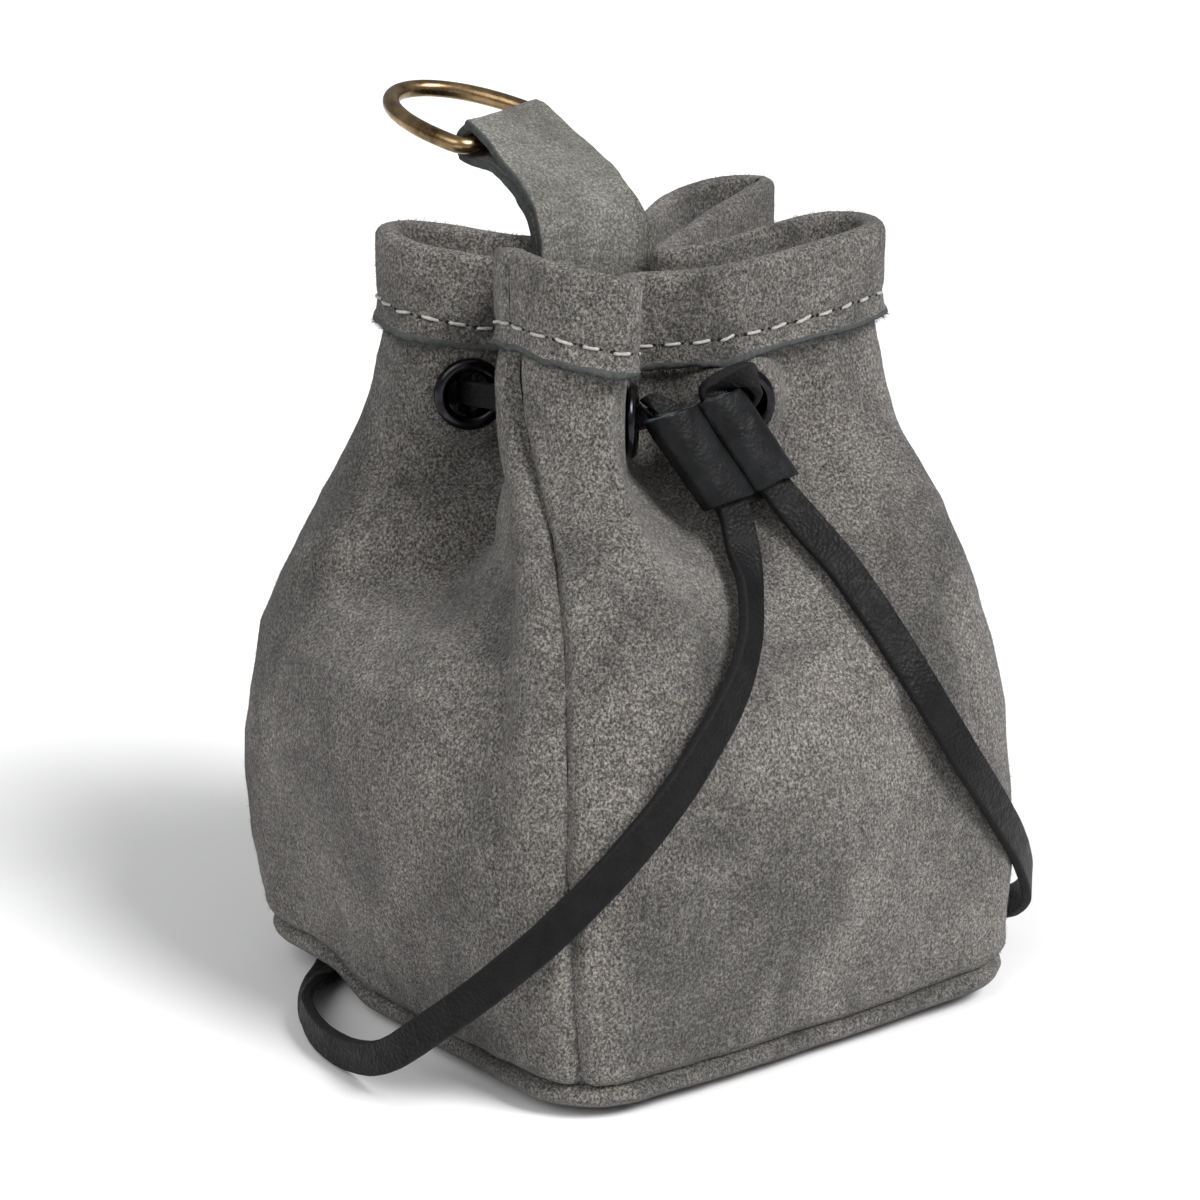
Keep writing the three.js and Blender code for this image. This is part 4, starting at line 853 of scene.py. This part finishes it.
def make_nap(name, grid, seed):
    """Loose fibres: a sparse nap on the suede and a denser fringe on the hem's torn edge."""
    rng = np.random.default_rng(seed)
    kinds = np.array([s[2] for s in SECTION])
    along = unit(np.gradient(grid, axis=1))
    away = np.stack([along[..., 1], -along[..., 0], np.zeros(along.shape[:2])], axis=-1)
    verts, index = [], []
    for kind, count, length, material in NAP:
        rows = rng.choice(np.where(kinds == kind)[0][1:-1], count)
        columns = rng.integers(1, grid.shape[1] - 2, count)
        p = grid[rows, columns] + (grid[rows, columns + 1] - grid[rows, columns]) * rng.random((count, 1))
        n = unit(away[rows, columns])
        clear = np.ones(count, bool)
        for seat in SEATS.values():
            clear &= np.linalg.norm(p - seat["point"], axis=1) > NAP_CLEAR_OF_EYELETS
        p, n = p[clear], n[clear]
        spread = rng.normal(size=p.shape)
        if kind == "raw":
            aim = unit(spread * 0.45 + n * 0.55 - np.array([0, 0, 0.6]))
        else:
            spread -= n * (spread * n).sum(1)[:, None]
            aim = unit(unit(spread) + n * rng.uniform(0.15, 0.7, (len(p), 1)))
        side = unit(np.cross(aim, n + 0.01)) * rng.uniform(0.025, 0.05, (len(p), 1))
        tip = p + aim * length * rng.uniform(0.4, 1.3, (len(p), 1))
        verts.append(np.stack([p - side, p + side, tip], axis=1).reshape(-1, 3))
        index += [material] * len(p)
    verts = np.concatenate(verts)
    faces = np.arange(len(verts)).reshape(-1, 3)
    piece = make_object(name, verts, faces, [SUEDE, SUEDE_EDGE], index)
    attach(piece, "pouch")


make_nap("nap_front", front_grid, 21)
make_nap("nap_back", back_grid, 22)


# ---------------------------------------------------------------- base

def make_base():
    at = np.linspace(0, MARKS, MARKS * 48, endpoint=False)
    seam = BASE_SEAM_HEIGHT
    section = [
        (seam + 0.05, -1.5), (seam + 0.02, -0.9), (seam * 0.96, -0.25), (seam * 0.89, 0.3),
        (seam * 0.78, 0.65), (seam * 0.65, 0.72), (seam * 0.52, 0.45), (seam * 0.39, -0.1),
        (seam * 0.28, -0.9), (seam * 0.18, -1.9), (0.5, -3.0), (0.28, -4.2), (0.14, -5.6), (0.03, -7.2),
        (0.0, -9.0),
    ]
    inside = [(WALL, -9.0), (WALL + 0.2, -6.5), (WALL + 0.7, -4.6), (seam * 0.67, -3.0), (seam * 0.98, -1.9)]
    rows = []

    def place(z, out, rough):
        p, n = wall_row(at, 0.0, np.full(len(at), out))
        lift = mark_value(LIFT, at) * (1 - smooth(-min(0, out) / BASE_CURL)) + corner_lift(p)
        p[:, 2] = z + lift
        d = rough * (0.3 * noise(p, 9, 71) + 0.16 * noise(p, 3.4, 72))
        near_seam = math.exp(-(((BASE_SEAM_HEIGHT - z) / 1.1) ** 2)) * rough
        d = d - near_seam * 0.35 * (1 + noise(p, (4, 4, 9), 16))
        return p + n * d[:, None]

    for z, out in section:
        rows.append(place(z, out, 1.0 if z > 0.5 else 0.0))
    under = rows[-1]
    for share in (0.8, 0.6, 0.4, 0.2):
        ring = under * share
        ring[:, 2] = 0.0
        rows.append(ring)
    outside = np.stack(rows)
    inner_rows = [place(z, out, 0.0) for z, out in inside]
    first = inner_rows[0]
    floor_rows = []
    for share in (0.2, 0.4, 0.6, 0.8):
        ring = first * share
        ring[:, 2] = WALL + 0.12 * noise(ring, 9, 73)
        floor_rows.append(ring)
    inner = np.stack(floor_rows + inner_rows)
    columns = len(at)
    verts = np.concatenate([outside.reshape(-1, 3), inner.reshape(-1, 3), [[0, 0, 0], [0, 0, WALL]]])
    faces = [tuple(f[::-1]) for f in grid_faces(len(outside), columns, wrap_columns=True)]
    start = len(outside) * columns
    faces += [tuple(f[::-1]) for f in grid_faces(len(inner), columns, wrap_columns=True, start=start)]
    low, high = len(verts) - 2, len(verts) - 1
    last_out = (len(outside) - 1) * columns
    last_in = start + (len(inner) - 1) * columns
    for c in range(columns):
        d = (c + 1) % columns
        faces.append((last_out + d, last_out + c, low))
        faces.append((start + c, start + d, high))
        faces.append((last_in + d, last_in + c, c, d))
    piece = make_object("suede_base", verts, faces, [SUEDE_BASE])
    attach(piece, "pouch")
    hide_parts("base_panel")


make_base()


# ---------------------------------------------------------------- stitches round the hem

STITCH_LENGTH = 2.5
STITCH_RADIUS = 0.24
STITCH_POINTS = 9
# Half width and half height of the painted-shade disc at each needle hole, and its sides.
NEEDLE_HOLE = (0.46, 0.34)
NEEDLE_HOLE_SIDES = 10


def hem_surface(grid):
    """The row of the hem on which the stitches lie, and the way up from it."""
    heights = np.array([s[0] for s in SECTION])
    kinds = np.array([s[2] for s in SECTION])
    rows = np.where(kinds == "hem")[0]
    best = rows[np.argmin(np.abs(heights[rows] - (HEM_EDGE + STITCH_ABOVE_EDGE)))]
    return grid[best], grid[best + 1] - grid[best - 1]


def tube(points, radius, sides=7):
    """A closed round tube along the points, with a radius at each."""
    points = np.asarray(points, float)
    tangent = unit(np.gradient(points, axis=0))
    side = unit(np.cross(tangent, np.array([0.02, 0.01, 1.0])))
    other = np.cross(side, tangent)
    t = circle(sides)
    radius = np.broadcast_to(np.asarray(radius, float), (len(points),))
    verts = points[:, None] + radius[:, None, None] * (
        np.cos(t)[None, :, None] * side[:, None] + np.sin(t)[None, :, None] * other[:, None])
    faces = [tuple(f) for f in grid_faces(len(points), sides, wrap_columns=True)]
    faces.append(tuple(range(sides - 1, -1, -1)))
    faces.append(tuple((len(points) - 1) * sides + k for k in range(sides)))
    return verts.reshape(-1, 3), faces


def make_stitches():
    verts, faces, index = [], [], []
    count = 0
    rng = np.random.default_rng(5)
    for grid, at in ((front_grid, front_at), (back_grid, back_at)):
        line, rise = hem_surface(grid)
        along = unit(np.gradient(line, axis=0))
        out = unit(np.cross(along, unit(rise)))
        run = distances(line)

        def pick(s):
            p = np.array([np.interp(s, run, line[:, k]) for k in range(3)])
            n = np.array([np.interp(s, run, out[:, k]) for k in range(3)])
            return p, unit(n)

        number = int(run[-1] / STITCH_PITCH)
        for k in range(number):
            start = (k + 0.3) * run[-1] / number + rng.normal(0, 0.12)
            length = STITCH_LENGTH + rng.normal(0, 0.15)
            tilt = rng.normal(0, 0.12)
            points = []
            for j in range(STITCH_POINTS):
                f = j / (STITCH_POINTS - 1)
                p, n = pick(start + length * f)
                height = 0.42 * math.sin(math.pi * f) ** 0.6 - 0.16
                points.append(p + n * height + np.array([0, 0, tilt * (f - 0.5) * 2]))
            v, f = tube(points, STITCH_RADIUS + 0.02 * rng.normal(size=STITCH_POINTS))
            faces += [tuple(i + count for i in q) for q in f]
            index += [0] * len(f)
            verts.append(v)
            count += len(v)
            # A near-black disc just past each end of a stitch: painted shade for its needle hole.
            for end in (-0.12, length + 0.12):
                p, n = pick(start + end)
                side = unit(pick(start + end + 0.2)[0] - p)
                up = np.cross(n, side)
                rim = [p + n * 0.10]
                for j in range(NEEDLE_HOLE_SIDES):
                    t = 2 * math.pi * j / NEEDLE_HOLE_SIDES
                    across, high = NEEDLE_HOLE[0] * math.cos(t), NEEDLE_HOLE[1] * math.sin(t)
                    rim.append(p + n * 0.02 + across * side + high * up)
                v = np.array(rim)
                f = [(0, j + 1, (j + 1) % NEEDLE_HOLE_SIDES + 1) for j in range(NEEDLE_HOLE_SIDES)]
                faces += [tuple(i + count for i in q) for q in f]
                index += [1] * len(f)
                verts.append(v)
                count += len(v)
    piece = make_object("hem_stitches", np.concatenate(verts), faces, [THREAD, HOLE_SHADE], index)
    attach(piece, "pouch")


make_stitches()


# ---------------------------------------------------------------- slider

def make_slider():
    """Two creased tubes side by side, with the strip's own end as a tongue behind them."""
    verts, faces, index = [], [], []
    count = 0
    around = 56

    def section(half_width, half_thick, power):
        t = circle(around)
        c, s = np.cos(t), np.sin(t)
        return np.stack([np.sign(c) * np.abs(c) ** (2 / power) * half_width,
                         np.sign(s) * np.abs(s) ** (2 / power) * half_thick], axis=1)

    for side in (-1, 1):
        rows = []
        for d in np.linspace(0, SLIDER_LENGTH, 46):
            f = d / SLIDER_LENGTH
            swell = 1 + 0.06 * math.sin(math.pi * f) - 0.05 * (1 - f)
            half_width = TUBE_HALF_WIDTH * (0.97 + 0.03 * f)
            rows.append((d, section(half_width, TUBE_HALF_THICKNESS * swell, 2.25), 0))
        rows += [(SLIDER_LENGTH + past, section(*shape), 1) for past, *shape in LOWER_LIP]
        for d in np.linspace(SLIDER_LENGTH - 0.3, 0.3, 10):
            rows.append((d, section(BORE_HALF_WIDTH, BORE_HALF_THICKNESS, 3.0), 2))
        rows += [(-past, section(*shape), 1) for past, *shape in UPPER_LIP]
        block = []
        kinds = []
        for d, loop, kind in rows:
            p = SLIDER_TOP + SLIDER_DOWN * d + SLIDER_ACROSS * (side * SLIDER_PITCH / 2 + loop[:, :1]) \
                + SLIDER_OUT * loop[:, 1:]
            if kind < 2:
                n = unit(SLIDER_ACROSS * loop[:, :1] / 4 + SLIDER_OUT * loop[:, 1:] / 2)
                wrinkle = 0.22 * noise(p, (5, 5, 7), 31) + 0.16 * noise(p, (1.2, 1.2, 4.0), 32)
                top = math.exp(-((d / 4.5) ** 2))
                p = p + n * (wrinkle * (0.35 + 0.9 * top))[:, None]
                if kind == 1 or d > SLIDER_LENGTH - 1:
                    p = p + SLIDER_DOWN * (0.35 * noise(p, 2.0, 33) + 0.15 * noise(p, 0.8, 34))[:, None]
            block.append(p)
            kinds.append(kind)
        block = np.stack(block)
        f = grid_faces(len(block), around, wrap_rows=True, wrap_columns=True, start=count)
        faces += [tuple(q) for q in f]
        index += list(np.where(np.repeat(np.array(kinds), around) == 0, 0, 1))
        verts.append(block.reshape(-1, 3))
        count += block.shape[0] * around
    # The strip's own end, which shows as a second layer under the two tubes.
    down = np.linspace(SLIDER_LENGTH - 5, SLIDER_LENGTH + 1.6, 14)[:, None]
    centre = SLIDER_TOP + SLIDER_DOWN * down + SLIDER_ACROSS * 0.2 - SLIDER_OUT * TONGUE_BEHIND
    wide = np.tile(SLIDER_ACROSS, (len(down), 1))
    thick = unit(np.cross(wide, SLIDER_DOWN))
    loop, cut = strip_section(TONGUE_WIDTH, TONGUE_THICKNESS, 6)
    v, f = sweep(centre, wide, thick, loop)
    columns = v.shape[1]
    flat = v.reshape(-1, 3)
    flat = flat + SLIDER_DOWN * (0.3 * noise(flat, 2.2, 35))[:, None]
    faces += [tuple(i + count for i in q) for q in f]
    column = np.tile(np.arange(columns), v.shape[0] - 1)
    index += list(np.where(cut[column], 1, 0))
    faces.append(tuple(count + k for k in range(columns)))
    faces.append(tuple(count + (v.shape[0] - 1) * columns + k for k in range(columns - 1, -1, -1)))
    index += [1, 1]
    verts.append(flat)
    materials = [SLIDER_FACE, SLIDER_CUT]
    piece = make_object("slider_leather_tubes", np.concatenate(verts), faces, materials, index)
    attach(piece, "pouch")
    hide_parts("cord_slider")


make_slider()


# ---------------------------------------------------------------- strap and ring

RING_WIRE = 2.6
RING_INNER_WIDTH = 19.4
RING_DEPTH = 22.6
RING_CORNER = 2.2
STRAP_WIDTH = 18.2
STRAP_THICKNESS = 1.4
STRAP_FRAY_FROM = 7.5
STRAP_FRAY_OVER = 1.5
BAR_MIDDLE = np.array([1.12, 33.0, 125.35])
BAR_ALONG = unit([0.938, 0.336, 0.083])
BOW_OUT = unit([-0.346, 0.907, 0.241])
WRAP = RING_WIRE / 2 + 0.5 + STRAP_THICKNESS / 2
LAYER = (STRAP_THICKNESS + GAP + 0.05) / 2
# Points midway between the strap's two layers, the way from layer to layer and the way across.
STRAP_LINE = [
    ((1.3, 11.8, 97.5), (0, -1, 0), (0.985, -0.17, 0)), ((1.3, 11.8, 104), (0, -1, 0), (0.985, -0.17, 0)),
    ((1.3, 12.0, 110), (0, -1, 0.05), (0.985, -0.17, 0)),
    ((1.3, 13.6, 115.4), (0, -0.9, 0.4), (0.985, -0.1, 0.02)),
    ((1.5, 17.6, 119.0), (0, -0.7, 0.7), (0.98, 0.08, 0.07)),
    ((1.6, 22.4, 121.5), (0, -0.5, 0.85), (0.965, 0.2, 0.06)),
    ((1.9, 27.2, 123.3), (-0.1, -0.42, 0.9), tuple(BAR_ALONG)),
]


def strap_route():
    """The strap's middle line, up one layer, round the ring's bar and down the other."""
    def layer(sign):
        out = []
        for i, (at, lean, width) in enumerate(STRAP_LINE):
            spread = LAYER + 0.5 if i == len(STRAP_LINE) - 1 else LAYER
            out.append((np.array(at) + unit(lean) * sign * spread, np.array(width)))
        return out

    inwards = np.array(STRAP_LINE[-1][0]) - BAR_MIDDLE
    inwards = unit(inwards - BAR_ALONG * (inwards @ BAR_ALONG))
    above = unit(np.cross(inwards, BAR_ALONG))
    if above[2] < 0:
        above = -above
    wrap = []
    for degrees in (10, 50, 90, 130, 170):
        t = math.radians(degrees)
        wrap.append((BAR_MIDDLE + above * WRAP * math.cos(t) - inwards * WRAP * math.sin(t), BAR_ALONG))
    return layer(1) + wrap + layer(-1)[::-1]


def make_strap():
    route = strap_route()
    centre, wide, thick, _ = flat_path([p for p, _ in route], [w for _, w in route], 230)
    loop, cut = strip_section(STRAP_WIDTH, STRAP_THICKNESS, 30)
    verts, faces = sweep(centre, wide, thick, loop)
    rows, columns = verts.shape[:2]
    flat = verts.reshape(-1, 3)
    row_thick = np.repeat(thick, columns, axis=0)
    row_wide = np.repeat(wide, columns, axis=0)
    across = np.tile(loop[:, 1], rows)
    sign = np.sign(np.tile(loop[:, 0], rows))
    amount = 0.12 * noise(flat, 6, 51) + 0.06 * noise(flat, 2.2, 52)
    flat = flat + row_thick * (amount * np.where(sign == 0, 0, sign))[:, None]
    fray = smooth((np.abs(across) - STRAP_FRAY_FROM) / STRAP_FRAY_OVER)
    edge = (0.28 * noise(flat, 5, 53) + 0.14 * noise(flat, 1.2, 54)) * fray
    flat = flat + row_wide * (edge * np.sign(across))[:, None]
    faces, index = close_strip(faces, rows, columns, cut)
    piece = make_object("suede_strap", flat, faces, [SUEDE_STRAP, SUEDE_EDGE], index)
    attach(piece, "pouch")
    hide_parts("belt_strap")


make_strap()


def make_ring():
    half = (RING_INNER_WIDTH + RING_WIRE) / 2
    depth = RING_DEPTH - RING_WIRE
    turn = RING_CORNER
    bow = unit(BOW_OUT - BAR_ALONG * (BOW_OUT @ BAR_ALONG))
    side = np.cross(bow, BAR_ALONG)
    line = []
    for k in range(24):
        line.append((-half + turn + (2 * half - 2 * turn) * k / 24, 0))
    for k in range(12):
        t = math.pi / 2 * k / 12
        line.append((half - turn + turn * math.sin(t), turn - turn * math.cos(t)))
    for k in range(90):
        t = math.pi * k / 90
        line.append((half * math.cos(t), turn + (depth - turn) * max(0, math.sin(t)) ** 0.9))
    for k in range(12):
        t = math.pi / 2 * k / 12
        line.append((-half + turn - turn * math.cos(t), turn - turn * math.sin(t)))
    line = resample(np.array(line + [line[0]]), 161)[:-1]
    n = len(line)
    for _ in range(3):
        line = (np.roll(line, 1, 0) + 2 * line + np.roll(line, -1, 0)) / 4
    along = unit(np.roll(line, -1, 0) - np.roll(line, 1, 0))
    across = np.stack([along[:, 1], -along[:, 0]], axis=1)
    sides = 28
    t = circle(sides)
    rows = []
    for p, a in zip(line, across):
        flat = p[None] + a[None] * (RING_WIRE / 2) * np.cos(t)[:, None]
        level = BAR_MIDDLE + flat[:, :1] * BAR_ALONG + flat[:, 1:] * bow
        rows.append(level + (RING_WIRE / 2) * np.sin(t)[:, None] * side)
    verts = np.stack(rows)
    faces = grid_faces(n, sides, wrap_rows=True, wrap_columns=True)
    piece = make_object("brass_d_ring", verts.reshape(-1, 3), faces, [BRASS])
    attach(piece, "ring")
    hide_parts("d_ring")


make_ring()


# ---------------------------------------------------------------- floor and light

FLOOR_HALF_SIDE = 3000.0
FLOOR_HEIGHT = -0.15
SKY_STRENGTH = 0.36


def make_sun(name, energy, degrees, direction):
    """A soft light from that direction, degrees wide."""
    data = bpy.data.lights.new(name, "SUN")
    data.energy = energy
    data.angle = math.radians(degrees)
    light = bpy.data.objects.new(name, data)
    light.rotation_euler = Vector(direction).to_track_quat("Z", "Y").to_euler()
    bpy.context.scene.collection.objects.link(light)


def make_stage():
    corners = [(x * FLOOR_HALF_SIDE, y * FLOOR_HALF_SIDE, FLOOR_HEIGHT)
               for x, y in ((-1, -1), (1, -1), (1, 1), (-1, 1))]
    floor = make_object("floor", corners, [(0, 1, 2, 3)], [floor_material()], flat=True)
    world = bpy.data.worlds.new("studio")
    bpy.context.scene.world = world
    world.use_nodes = True
    sky = world.node_tree.nodes["Background"]
    sky.inputs["Color"].default_value = (0.99, 0.995, 1.0, 1)
    sky.inputs["Strength"].default_value = SKY_STRENGTH
    bpy.context.scene.view_settings.view_transform = "Standard"
    bpy.context.scene.view_settings.look = "None"


# A weak, wide light from the upper left shapes the folds of the left face; the key comes from the front.
make_sun("fill", 1.1, 40, (-0.72, -0.22, 0.66))
make_stage()
make_sun("key", 3.5, 24, (0.202, -0.722, 0.75))
